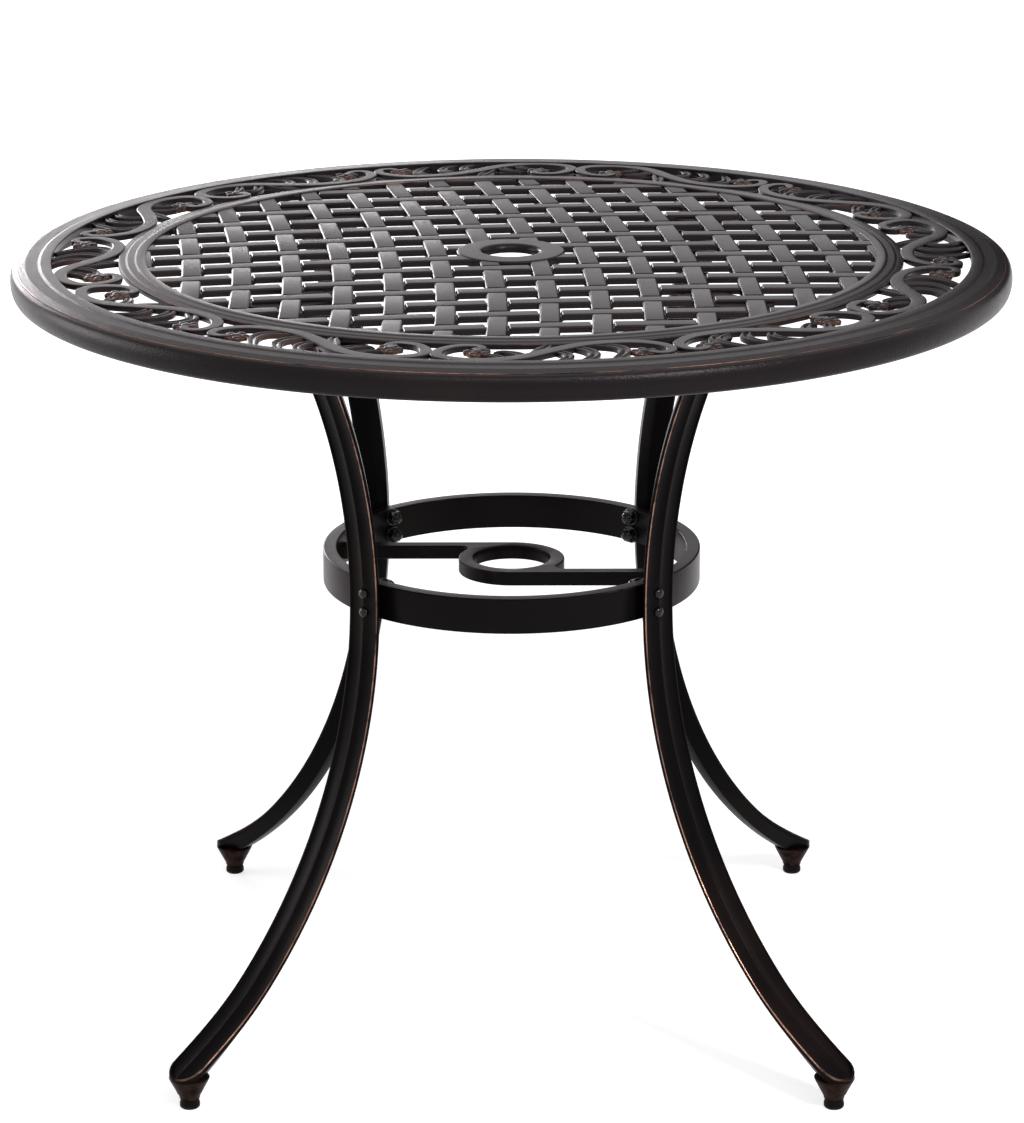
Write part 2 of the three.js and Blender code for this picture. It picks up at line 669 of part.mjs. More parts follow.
// Hoop with the S brace: its left arm meets the guide at the back, its right arm at the front
function stretcherRing() {
  const bottom = RING_MIDDLE_HEIGHT - RING_HEIGHT / 2;
  const top = bottom + RING_HEIGHT;
  const corners = [
    [RING_INNER_RADIUS, bottom],
    [RING_RADIUS, bottom],
    [RING_RADIUS, top],
    [RING_INNER_RADIUS, top],
  ];
  const hoop = turned([...corners, corners[0]], HOOP_SEGMENTS).rotateZ(Math.PI / HOOP_SEGMENTS);
  const barTop = top - BRACE_DROP;
  const barBottom = barTop - BRACE_BAR_HEIGHT;
  const guideRadius = GUIDE_HOLE_RADIUS + BRACE_BAR_WIDTH;
  const guide = rod(guideRadius, barBottom, barTop, GUIDE_SEGMENTS);
  const reach = RING_RADIUS - RING_WALL / 2;
  const armEnd = Math.sqrt(reach ** 2 - guideRadius ** 2);
  const left = block([-armEnd, GUIDE_HOLE_RADIUS, barBottom], [0, guideRadius, barTop]);
  const right = block([0, -guideRadius, barBottom], [armEnd, -GUIDE_HOLE_RADIUS, barTop]);
  const hole = rod(GUIDE_HOLE_RADIUS, barBottom - OVERRUN, barTop + OVERRUN, GUIDE_SEGMENTS);
  const bars = joined([guide, left, right].map(solid)).subtract(solid(hole));
  const holes = [];
  for (let leg = 0; leg < LEG_COUNT; leg += 1) {
    const inside = RING_INNER_RADIUS - OVERRUN;
    holes.push(ringBoltHoles(HOLE_RADIUS, inside, RING_RADIUS + OVERRUN, legAngle(leg)));
  }
  return piece('stretcher_ring', joined([solid(hoop), bars]).subtract(joined(holes)), bronze);
}

// Quarter of a dome from its edge up to its crown, as [radius, height] pairs
function domeProfile(radius, height, base) {
  const profile = [];
  for (let step = 0; step <= DOME_ARC_STEPS; step += 1) {
    const angle = (step / DOME_ARC_STEPS) * (Math.PI / 2);
    const isCrown = step === DOME_ARC_STEPS;
    profile.push([isCrown ? 0 : radius * Math.cos(angle), base + height * Math.sin(angle)]);
  }
  return profile;
}

function washerSeat() {
  return RING_INNER_RADIUS * HOOP_FLATNESS - SEAT_GAP;
}

function nutSeat() {
  return washerSeat() - WASHER_THICKNESS - SEAT_GAP;
}

// Domed screw with its head to the outside
function ringBoltSolid() {
  const head = SPOT_FACE_PLACE + SEAT_GAP;
  const end = nutSeat() - NUT_REACH;
  const profile = [
    [0, end],
    [SCREW_RADIUS, end],
    [SCREW_RADIUS, head],
    ...domeProfile(RING_BOLT_HEAD_RADIUS, RING_BOLT_HEAD_HEIGHT, head),
  ];
  return solid(turned(profile, SMALL_SEGMENTS).rotateY(Math.PI / 2));
}

function washerSolid() {
  const outer = washerSeat();
  const inner = outer - WASHER_THICKNESS;
  const bore = [[HOLE_RADIUS, outer], [HOLE_RADIUS, inner]];
  const profile = [...bore, [WASHER_RADIUS, inner], [WASHER_RADIUS, outer], bore[0]];
  return solid(turned(profile, SMALL_SEGMENTS).rotateY(Math.PI / 2));
}

// Domed nut on the inner end of the screw
function capNutSolid() {
  const dome = domeProfile(NUT_DOME_RADIUS, NUT_DOME_RADIUS, NUT_HEIGHT - NUT_CROWN);
  const cap = turned([[0, 0], [NUT_DOME_RADIUS, 0], ...dome], SMALL_SEGMENTS);
  const hex = rod(NUT_FLAT_RADIUS, 0, NUT_HEIGHT, HEX_SEGMENTS);
  const thread = rod(HOLE_RADIUS, -OVERRUN, NUT_REACH + SEAT_GAP, SMALL_SEGMENTS);
  const facingIn = [cap, hex, thread].map((shape) => shape.rotateY(-Math.PI / 2));
  const [capBody, hexBody, threadBody] = facingIn.map((shape) => solid(shape.translate(nutSeat(), 0, 0)));
  return capBody.add(hexBody).subtract(threadBody);
}

// Flanged hexagon screw up through the leg's flange
function topBoltSolid() {
  const seat = FLANGE_BOTTOM - SEAT_GAP;
  const collarBottom = seat - TOP_BOLT_COLLAR_HEIGHT;
  const profile = [
    [0, collarBottom],
    [TOP_BOLT_COLLAR_RADIUS, collarBottom],
    [TOP_BOLT_COLLAR_RADIUS, seat],
    [SCREW_RADIUS, seat],
    [SCREW_RADIUS, PAD_BOTTOM + TOP_BOLT_REACH],
    [0, PAD_BOTTOM + TOP_BOLT_REACH],
  ];
  const hexBottom = collarBottom - TOP_BOLT_HEX_HEIGHT;
  const hex = rod(TOP_BOLT_HEX_RADIUS, hexBottom, collarBottom + SEAT_GAP, HEX_SEGMENTS);
  return joined([solid(turned(profile, SMALL_SEGMENTS)), solid(hex)]);
}

// Plastic pad that stands on the floor, moulded round the lower end of its stud
function glidePadSolid() {
  const groove = GLIDE_RADIUS - GLIDE_NECK_GROOVE;
  const neck = GLIDE_HEIGHT - GLIDE_NECK_HEIGHT;
  const wellRadius = (STUD_RADIUS + SEAT_GAP) / Math.cos(Math.PI / SMALL_SEGMENTS);
  const profile = [
    [0, 0],
    [GLIDE_SOLE_RADIUS, 0],
    [GLIDE_RADIUS, GLIDE_SOLE_BEVEL],
    [GLIDE_RADIUS, neck],
    [groove, neck + GLIDE_NECK_GROOVE],
    [groove, GLIDE_HEIGHT],
    [0, GLIDE_HEIGHT],
  ];
  const well = rod(wellRadius, STUD_FLOOR, GLIDE_HEIGHT + OVERRUN, SMALL_SEGMENTS);
  const [padBody, wellBody] = [turned(profile, FOOT_SEGMENTS), well].map((shape) => (
    solid(shape.translate(FOOT_RADIUS, 0, 0))
  ));
  return padBody.subtract(wellBody);
}

function glideStudSolid() {
  const bottom = STUD_FLOOR + SEAT_GAP;
  const stud = rod(STUD_RADIUS, bottom, bottom + STUD_LENGTH, SMALL_SEGMENTS);
  return solid(stud.translate(FOOT_RADIUS, 0, 0));
}

// Leg with everything that is fastened to it, turned to its corner
function legGroup(index, corner) {
  const group = new THREE.Group();
  group.rotation.z = legAngle(index);
  group.add(piece(`leg_${corner}`, legSolid(), bronze));
  for (const [row, height] of ringBoltHeights().entries()) {
    const place = `${corner}_${['lower', 'upper'][row]}`;
    const bolt = piece(`ring_bolt_${place}`, ringBoltSolid(), blackened);
    const washer = piece(`ring_washer_${place}`, washerSolid(), blackened);
    const nut = piece(`ring_cap_nut_${place}`, capNutSolid(), blackened);
    for (const fastener of [bolt, washer, nut]) {
      fastener.position.z = height;
      group.add(fastener);
    }
  }
  for (const [row, place] of topBoltPlaces().entries()) {
    const bolt = piece(`top_bolt_${corner}_${['inner', 'outer'][row]}`, topBoltSolid(), blackened);
    bolt.position.x = place;
    group.add(bolt);
  }
  group.add(piece(`glide_pad_${corner}`, glidePadSolid(), nylon));
  group.add(piece(`glide_stud_${corner}`, glideStudSolid(), zinc));
  return group;
}

const table = new THREE.Group();
table.add(tableTop());
table.add(stretcherRing());
for (const [index, corner] of ['rear_right', 'rear_left', 'front_left', 'front_right'].entries()) {
  table.add(legGroup(index, corner));
}

export default table;
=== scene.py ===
"""Looks of the round umbrella table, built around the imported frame.

Metres, +Z up. The origin is on the floor under the middle of the top.
"""

import logging
import math
from collections.abc import Callable, Iterator, Mapping, Sequence
from contextlib import contextmanager
from dataclasses import dataclass
from enum import Enum

import bmesh
import bpy
from mathutils import Matrix, Vector


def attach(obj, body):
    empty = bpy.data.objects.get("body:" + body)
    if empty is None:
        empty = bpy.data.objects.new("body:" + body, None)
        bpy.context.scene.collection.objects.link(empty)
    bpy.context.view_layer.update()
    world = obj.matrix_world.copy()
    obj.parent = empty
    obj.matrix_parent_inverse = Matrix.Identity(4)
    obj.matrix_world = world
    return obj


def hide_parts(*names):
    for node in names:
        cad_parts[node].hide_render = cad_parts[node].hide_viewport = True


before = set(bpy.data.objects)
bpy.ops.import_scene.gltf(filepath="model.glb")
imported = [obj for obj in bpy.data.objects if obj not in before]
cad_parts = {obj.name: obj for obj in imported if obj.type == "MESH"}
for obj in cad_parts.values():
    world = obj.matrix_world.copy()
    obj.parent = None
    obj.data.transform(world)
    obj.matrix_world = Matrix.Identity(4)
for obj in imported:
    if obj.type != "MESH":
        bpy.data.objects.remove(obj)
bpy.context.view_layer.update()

LOG = logging.getLogger("umbrella_table")

MM = 0.001
TOP_HEIGHT = 711 * MM
TABLE_BODY = "table"
PATTERN_TURN = math.radians(5.5)
PICTURE_WIDTH = 1024
PICTURE_HEIGHT = 1123
FULL_TURN = 2 * math.pi
HOOP_MIDDLE = 418 * MM
SCREW_SPACING = 17.5 * MM
FLANGE_PLACE = 261.1 * MM
FOOT_PLACE = 402 * MM
MERGE_DISTANCE = 0.005 * MM
CORNER_STEPS = 5
SMOOTH_ANGLE = math.radians(38)

WHITE = (1.0, 1.0, 1.0, 1.0)
# Rows of [across, up] from a bar's upper and lower corner, in edge widths.
SLOPED_EDGE = ((-1.3, 0.0), (-1.0, -0.02), (-0.08, -0.62), (0.0, -0.76), (0.0, -1.3))
SOFT_FOOT = ((0.0, 1.0), (-0.3, 0.3), (-1.0, 0.0))

Pair = tuple[float, float]
Colour = tuple[float, float, float]


class Corner(Enum):
    """The four legs, by the angle in degrees that each stands at."""

    REAR_RIGHT = 45.0
    REAR_LEFT = 135.0
    FRONT_LEFT = 225.0
    FRONT_RIGHT = 315.0

    @property
    def label(self) -> str:
        """Name of the corner in the frame's node names."""
        return self.name.lower()

    @property
    def turn(self) -> float:
        """Angle of the leg round the table, in radians."""
        return math.radians(self.value)

    @property
    def placing(self) -> Matrix:
        """Turn that takes a piece modelled along +X to its corner."""
        return Matrix.Rotation(self.turn, 4, "Z")


class Slot(Enum):
    """Material slots of the record."""

    CASTING = "bronze_casting"
    FASTENER = "black_fastener"
    STUD = "zinc_stud"
    PAD = "black_nylon"


class Axis(Enum):
    """Axis that a swept section turns about as its line bends."""

    UPRIGHT = "Z"
    LEVEL = "Y"


@dataclass(frozen=True)
class Station:
    """One place on the line of a swept bar."""

    place: Vector
    heading: float
    width: float = 1.0
    height: float = 1.0


class Bench:
    """Modelling moves, each made of Blender's own operators."""

    @staticmethod
    def take(piece: bpy.types.Object) -> bpy.types.Object:
        """Selects one piece and nothing else.

        Args:
            piece: The piece to work on.

        Returns:
            The same piece.
        """
        bpy.ops.object.select_all(action="DESELECT")
        piece.select_set(True)
        bpy.context.view_layer.objects.active = piece
        return piece

    @staticmethod
    @contextmanager
    def editing(piece: bpy.types.Object) -> Iterator[None]:
        """Edit mode on one piece, entered with everything on it selected.

        Args:
            piece: The piece to edit.
        """
        Bench.take(piece)
        bpy.ops.object.mode_set(mode="EDIT")
        bpy.ops.mesh.select_mode(type="VERT")
        bpy.ops.mesh.select_all(action="SELECT")
        yield
        bpy.ops.object.mode_set(mode="OBJECT")

    @staticmethod
    def turn(angle: float, axis: Axis, centre: Vector) -> None:
        """Turns what is selected in edit mode.

        Args:
            angle: Right-handed angle in radians.
            axis: Axis to turn about.
            centre: Point that stays where it is.
        """
        bpy.ops.transform.rotate(value=-angle, orient_axis=axis.value, center_override=centre)

    @staticmethod
    def settled(name: str) -> bpy.types.Object:
        """Names the active piece and puts its place into its mesh.

        Args:
            name: Name of the piece.

        Returns:
            The piece.
        """
        piece = bpy.context.object
        piece.name = name
        piece.data.name = name
        bpy.ops.object.transform_apply(location=True, rotation=True, scale=True)
        return piece

    @staticmethod
    def discard(*pieces: bpy.types.Object) -> None:
        """Deletes pieces that are used up.

        Args:
            *pieces: The pieces to delete.
        """
        for piece in pieces:
            Bench.take(piece)
            bpy.ops.object.delete()

    @staticmethod
    def block(name: str, size: float, place: Sequence[float]) -> bpy.types.Object:
        """Adds a cube to cut another piece with.

        Args:
            name: Name of the piece.
            size: Length of its sides.
            place: Its middle.

        Returns:
            The cube.
        """
        bpy.ops.object.select_all(action="DESELECT")
        bpy.ops.mesh.primitive_cube_add(size=size, location=place)
        return Bench.settled(name)

    @staticmethod
    def prism(
        name: str,
        sides: int,
        radius: float,
        depth: float,
        place: Sequence[float],
        tilt: float = 0.0,
    ) -> bpy.types.Object:
        """Adds an upright prism or roller, a start for a head or a cut.

        Args:
            name: Name of the piece.
            sides: Number of its sides.
            radius: Radius to its corners.
            depth: Its length.
            place: Its middle.
            tilt: Angle that it is turned about X.

        Returns:
            The prism.
        """
        bpy.ops.object.select_all(action="DESELECT")
        bpy.ops.mesh.primitive_cylinder_add(
            vertices=sides, radius=radius, depth=depth, location=place, rotation=(tilt, 0, 0)
        )
        return Bench.settled(name)

    @staticmethod
    def line(name: str, points: Sequence[Vector]) -> bpy.types.Object:
        """Draws a line of edges by pulling a single vertex along.

        Args:
            name: Name of the piece.
            points: The corners of the line in order.

        Returns:
            The piece, a bare line.
        """
        bpy.ops.object.select_all(action="DESELECT")
        bpy.ops.mesh.primitive_plane_add(size=MM, location=points[0])
        piece = Bench.settled(name)
        with Bench.editing(piece):
            bpy.ops.mesh.merge(type="CENTER")
            for here, there in zip(points, points[1:]):
                bpy.ops.mesh.extrude_region_move(TRANSFORM_OT_translate={"value": there - here})
        return piece

    @staticmethod
    def sheet(name: str, points: Sequence[Vector]) -> bpy.types.Object:
        """Draws a flat face with the given corners.

        Args:
            name: Name of the piece.
            points: The corners in order round the face.

        Returns:
            The piece, a single face.
        """
        piece = Bench.line(name, [*points, points[0]])
        with Bench.editing(piece):
            bpy.ops.mesh.remove_doubles(threshold=MERGE_DISTANCE)
            bpy.ops.mesh.edge_face_add()
        return piece

    @staticmethod
    def tidy(piece: bpy.types.Object, angle: float = SMOOTH_ANGLE) -> bpy.types.Object:
        """Merges doubled points, turns the faces outwards and smooths the round ones.

        Args:
            piece: The piece to finish.
            angle: Edges sharper than this stay sharp.

        Returns:
            The same piece.
        """
        with Bench.editing(piece):
            bpy.ops.mesh.remove_doubles(threshold=MERGE_DISTANCE)
            bpy.ops.mesh.normals_make_consistent(inside=False)
        bpy.ops.object.shade_smooth_by_angle(angle=angle)
        return piece

    @staticmethod
    def turned(
        name: str, profile: Sequence[Pair], steps: int, centre: Vector | None = None
    ) -> bpy.types.Object:
        """Spins a profile round an upright axis.

        Args:
            name: Name of the piece.
            profile: [radius, height] pairs. It closes on itself unless both ends are on the axis.
            steps: Number of faces round the axis.
            centre: Point on the axis, the origin if left out.

        Returns:
            The turned piece.
        """
        middle = centre or Vector()
        points = [middle + Vector((radius, 0, height)) for radius, height in profile]
        if profile[0][0] > 0 or profile[-1][0] > 0:
            points.append(points[0])
        piece = Bench.line(name, points)
        with Bench.editing(piece):
            bpy.ops.mesh.remove_doubles(threshold=MERGE_DISTANCE)
            bpy.ops.mesh.spin(steps=steps, angle=FULL_TURN, center=middle, axis=(0, 0, 1))
        return Bench.tidy(piece)

    @staticmethod
    def swept(
        name: str, section: Sequence[Pair], stations: Sequence[Station], axis: Axis = Axis.UPRIGHT
    ) -> bpy.types.Object:
        """Pulls a section along a line that bends in one plane.

        Args:
            name: Name of the piece.
            section: [across, up] pairs of the section at heading 0, where the line runs
                along +Y, or along +Z with across along Y and up along +X for a level axis.
            stations: Places along the line.
            axis: Axis that the section turns about.

        Returns:
            The swept bar, closed at both ends.
        """
        first = stations[0]
        turning = Matrix.Rotation(first.heading, 3, axis.value)
        corners = []
        for across, up in section:
            flat = (across * first.width, 0, up * first.height)
            if axis is Axis.LEVEL:
                flat = (up * first.height, across * first.width, 0)
            corners.append(first.place + turning @ Vector(flat))
        piece = Bench.sheet(name, corners)
        with Bench.editing(piece):
            for before, after in zip(stations, stations[1:]):
                Bench._step(before, after, axis)
        return Bench.tidy(piece)

    @staticmethod
    def _step(before: Station, after: Station, axis: Axis) -> None:
        """Extrudes the selected end of a bar to its next station.

        Args:
            before: The station that the end is at.
            after: The next station.
            axis: Axis that the section turns about.
        """
        move = after.place - before.place
        bpy.ops.mesh.extrude_region_move(TRANSFORM_OT_translate={"value": move})
        if after.width == before.width and after.height == before.height:
            Bench.turn(after.heading - before.heading, axis, after.place)
            return
        Bench.turn(-before.heading, axis, after.place)
        across = after.width / before.width
        up = after.height / before.height
        size = (across, 1, up) if axis is Axis.UPRIGHT else (up, across, 1)
        bpy.ops.transform.resize(value=size, center_override=after.place)
        Bench.turn(after.heading, axis, after.place)

    @staticmethod
    def slab(name: str, outline: Sequence[Vector], depth: float) -> bpy.types.Object:
        """Makes a plate of even thickness.

        Args:
            name: Name of the piece.
            outline: Corners of the plate's top.
            depth: Thickness, downwards.

        Returns:
            The plate.
        """
        piece = Bench.sheet(name, outline)
        with Bench.editing(piece):
            bpy.ops.mesh.extrude_region_move(TRANSFORM_OT_translate={"value": (0, 0, -depth)})
        return Bench.tidy(piece)

    @staticmethod
    def raised(
        name: str, outline: Sequence[Vector], depth: float, edge: float
    ) -> bpy.types.Object:
        """Makes a plate with rounded edges.

        Args:
            name: Name of the piece.
            outline: Corners of the plate's top.
            depth: Thickness, downwards.
            edge: Radius of the rounding.

        Returns:
            The plate.
        """
        return Bench.bevelled(Bench.slab(name, outline, depth), edge)

    @staticmethod
    def bevelled(
        piece: bpy.types.Object, width: float, segments: int = 2
    ) -> bpy.types.Object:
        """Rounds every sharp edge of a piece with a Bevel modifier, applied.

        Args:
            piece: The piece.
            width: Radius of the rounding.
            segments: Faces across the rounding.

        Returns:
            The same piece.
        """
        Bench.take(piece)
        bpy.ops.object.modifier_add(type="BEVEL")
        bevel = piece.modifiers[-1]
        bevel.width = width
        bevel.segments = segments
        bevel.limit_method = "ANGLE"
        bevel.angle_limit = SMOOTH_ANGLE
        bevel.use_clamp_overlap = True
        bpy.ops.object.modifier_apply(modifier=bevel.name)
        return Bench.tidy(piece)

    @staticmethod
    def combined(piece: bpy.types.Object, other: bpy.types.Object, how: str) -> bpy.types.Object:
        """Joins, cuts or trims a piece with another one, which is used up.

        Args:
            piece: The piece that stays.
            other: The piece that is used up.
            how: UNION, DIFFERENCE or INTERSECT.

        Returns:
            The first piece.
        """
        Bench.take(piece)
        bpy.ops.object.modifier_add(type="BOOLEAN")
        boolean = piece.modifiers[-1]
        boolean.operation = how
        boolean.solver = "EXACT"
        boolean.object = other
        bpy.ops.object.modifier_apply(modifier=boolean.name)
        Bench.discard(other)
        return Bench.take(piece)

    @staticmethod
    def copied(
        piece: bpy.types.Object, name: str, place: Matrix, keep: bool = True
    ) -> bpy.types.Object:
        """Copies a piece with a mesh of its own and puts the copy's place into its mesh.

        Args:
            piece: The piece to copy.
            name: Name of the copy.
            place: Where the copy goes.
            keep: False uses the piece itself instead of a copy.

        Returns:
            The copy, at the origin and unturned.
        """
        Bench.take(piece)
        if keep:
            bpy.ops.object.duplicate(linked=False)
        bpy.context.object.matrix_world = place
        copy = Bench.settled(name)
        if place.determinant() < 0:
            Bench.tidy(copy)
        return copy

    @staticmethod
    def joined(name: str, pieces: Sequence[bpy.types.Object]) -> bpy.types.Object:
        """Makes several pieces one object.

        Args:
            name: Name of the object.
            pieces: The pieces to join.

        Returns:
            The joined object.
        """
        whole = Bench.take(pieces[0])
        for piece in pieces[1:]:
            piece.select_set(True)
        bpy.ops.object.join()
        whole.name = name
        whole.data.name = name
        return whole


def offsets(across: float, up: float, unit: float, rows: Sequence[Pair]) -> list[Pair]:
    """Points of a section or profile at so many units from one of its corners.

    Args:
        across: The corner's distance from the middle.
        up: The corner's height.
        unit: Size of a unit.
        rows: [across, up] pairs in units.

    Returns:
        [across, up] pairs.
    """
    return [(across + side * unit, up + lift * unit) for side, lift in rows]


def dropped(radius: float, rows: Sequence[Pair]) -> list[Pair]:
    """Points of a crowned profile, down from a height of 0.

    Args:
        radius: Radius or half width.
        rows: [share of the radius, drop in millimetres] pairs.

    Returns:
        [across, up] pairs.
    """
    return [(radius * share, -drop * MM) for share, drop in rows]


def drum(radius: float, low: float, high: float) -> list[Pair]:
    """Profile of a plain drum to cut with.

    Args:
        radius: Its radius.
        low: Height of its bottom.
        high: Height of its top.

    Returns:
        [radius, height] pairs.
    """
    return [(0.0, low), (radius, low), (radius, high), (0.0, high)]


def mirrored(half: Sequence[Pair]) -> list[Pair]:
    """Whole section from its right half.

    Args:
        half: [across, up] pairs; a point on the middle line isn't doubled.

    Returns:
        [across, up] pairs.
    """
    return [*half, *[(-across, up) for across, up in reversed(half) if across > 0]]


def rounded_bar(width: float, depth: float, edge: float, draft: float = 0.0) -> list[Pair]:
    """Section of a cast bar with soft sloped edges, its top at a height of 0.

    Args:
        width: Width across the top.
        depth: Height of the bar.
        edge: Width of the slope along each edge.
        draft: How much each side leans in towards the bottom.

    Returns:
        [across, up] pairs.
    """
    top = width / 2
    return mirrored(
        [
            *offsets(top, 0.0, edge, SLOPED_EDGE),
            *offsets(top - draft, -depth, edge, SOFT_FOOT),
        ]
    )


def rounded_plate(
    place: float, length: float, width: float, corner: float, height: float
) -> list[Vector]:
    """Outline of a level plate with round corners, its length along X.

    Args:
        place: Distance of its middle out along X.
        length: Size along X.
        width: Size along Y.
        corner: Radius of the corners.
        height: Height of the outline.

    Returns:
        The corners in order.
    """
    outline = []
    for quarter, (side, depth) in enumerate([(1, 1), (-1, 1), (-1, -1), (1, -1)]):
        for step in range(CORNER_STEPS + 1):
            angle = (quarter + step / CORNER_STEPS) * math.pi / 2
            x = place + side * (length / 2 - corner) + corner * math.cos(angle)
            y = depth * (width / 2 - corner) + corner * math.sin(angle)
            outline.append(Vector((x, y, height)))
    return outline


def smooth_line(points: Sequence[Sequence[float]], steps: int) -> list[tuple[float, ...]]:
    """Points along a smooth curve through the given points.

    Args:
        points: Rows of numbers, each a point of the curve.
        steps: New points for each stretch between two rows.

    Returns:
        Rows of numbers along the curve.
    """
    rows = [points[0], *points, points[-1]]
    smooth = []
    for index in range(1, len(rows) - 2):
        before, start, end, after = rows[index - 1 : index + 3]
        for step in range(steps):
            share = step / steps
            smooth.append(
                tuple(
                    0.5
                    * (
                        2 * b
                        + (c - a) * share
                        + (2 * a - 5 * b + 4 * c - d) * share**2
                        + (3 * b - a - 3 * c + d) * share**3
                    )
                    for a, b, c, d in zip(before, start, end, after)
                )
            )
    smooth.append(tuple(points[-1]))
    return smooth


def along_line(rows: Sequence[Sequence[float]], height: float = 0.0) -> list[Station]:
    """Stations with headings along a level line.

    Args:
        rows: [x, y, width] rows, with a drop below the height as a fourth number if wanted.
        height: Height of the line.

    Returns:
        A station for each row.
    """
    stations = []
    for index, row in enumerate(rows):
        before = rows[max(index - 1, 0)]
        after = rows[min(index + 1, len(rows) - 1)]
        heading = math.atan2(-(after[0] - before[0]), after[1] - before[1])
        drop = row[3] if len(row) > 3 else 0.0
        stations.append(Station(Vector((row[0], row[1], height - drop)), heading, row[2]))
    for index in range(1, len(stations)):
        station = stations[index]
        turn = station.heading - stations[index - 1].heading
        heading = station.heading - round(turn / FULL_TURN) * FULL_TURN
        stations[index] = Station(station.place, heading, station.width)
    return stations


class Wear:
    """Marks the edges of a piece where its coat is rubbed."""

    ATTRIBUTE = "rub"
    FULL_BEND = math.radians(34)

    @classmethod
    def mark(
        cls, piece: bpy.types.Object, touched: Callable[[Vector], float] | None = None
    ) -> None:
        """Writes how sharply each point of a piece juts out, from 0 to 1.

        Args:
            piece: The piece to mark.
            touched: Share of the wear that a place gets, 1 everywhere if left out.
        """
        mesh = bmesh.new()
        mesh.from_mesh(piece.data)
        layer = mesh.verts.layers.float.new(cls.ATTRIBUTE)
        for vert in mesh.verts:
            bends = [edge.calc_face_angle_signed(0.0) for edge in vert.link_edges]
            share = touched(vert.co) if touched else 1.0
            vert[layer] = share * min(1.0, max(0.0, 0.0, *bends) / cls.FULL_BEND)
        mesh.to_mesh(piece.data)
        mesh.free()


@dataclass(frozen=True)
class Grain:
    """One noise: its blotches to a metre, its finer layers and their share."""

    scale: float
    detail: float = 3.0
    roughness: float = 0.6


class Wire:
    """A socket's value in shader maths, used like a number."""

    def __init__(self, recipe: "Recipe", socket: bpy.types.NodeSocket) -> None:
        """Wraps a socket of a recipe."""
        self.recipe = recipe
        self.socket = socket

    def _math(self, how: str, *values: "Wire | float") -> "Wire":
        """Adds one Math node."""
        return self.recipe.wire("ShaderNodeMath", {"operation": how}, dict(enumerate(values)))

    def __add__(self, other: "Wire | float") -> "Wire":
        """Sum."""
        return self._math("ADD", self, other)

    __radd__ = __add__

    def __sub__(self, other: "Wire | float") -> "Wire":
        """Difference."""
        return self._math("SUBTRACT", self, other)

    def __rsub__(self, other: "Wire | float") -> "Wire":
        """Difference the other way round."""
        return self._math("SUBTRACT", other, self)

    def __mul__(self, other: "Wire | float") -> "Wire":
        """Product."""
        return self._math("MULTIPLY", self, other)

    __rmul__ = __mul__


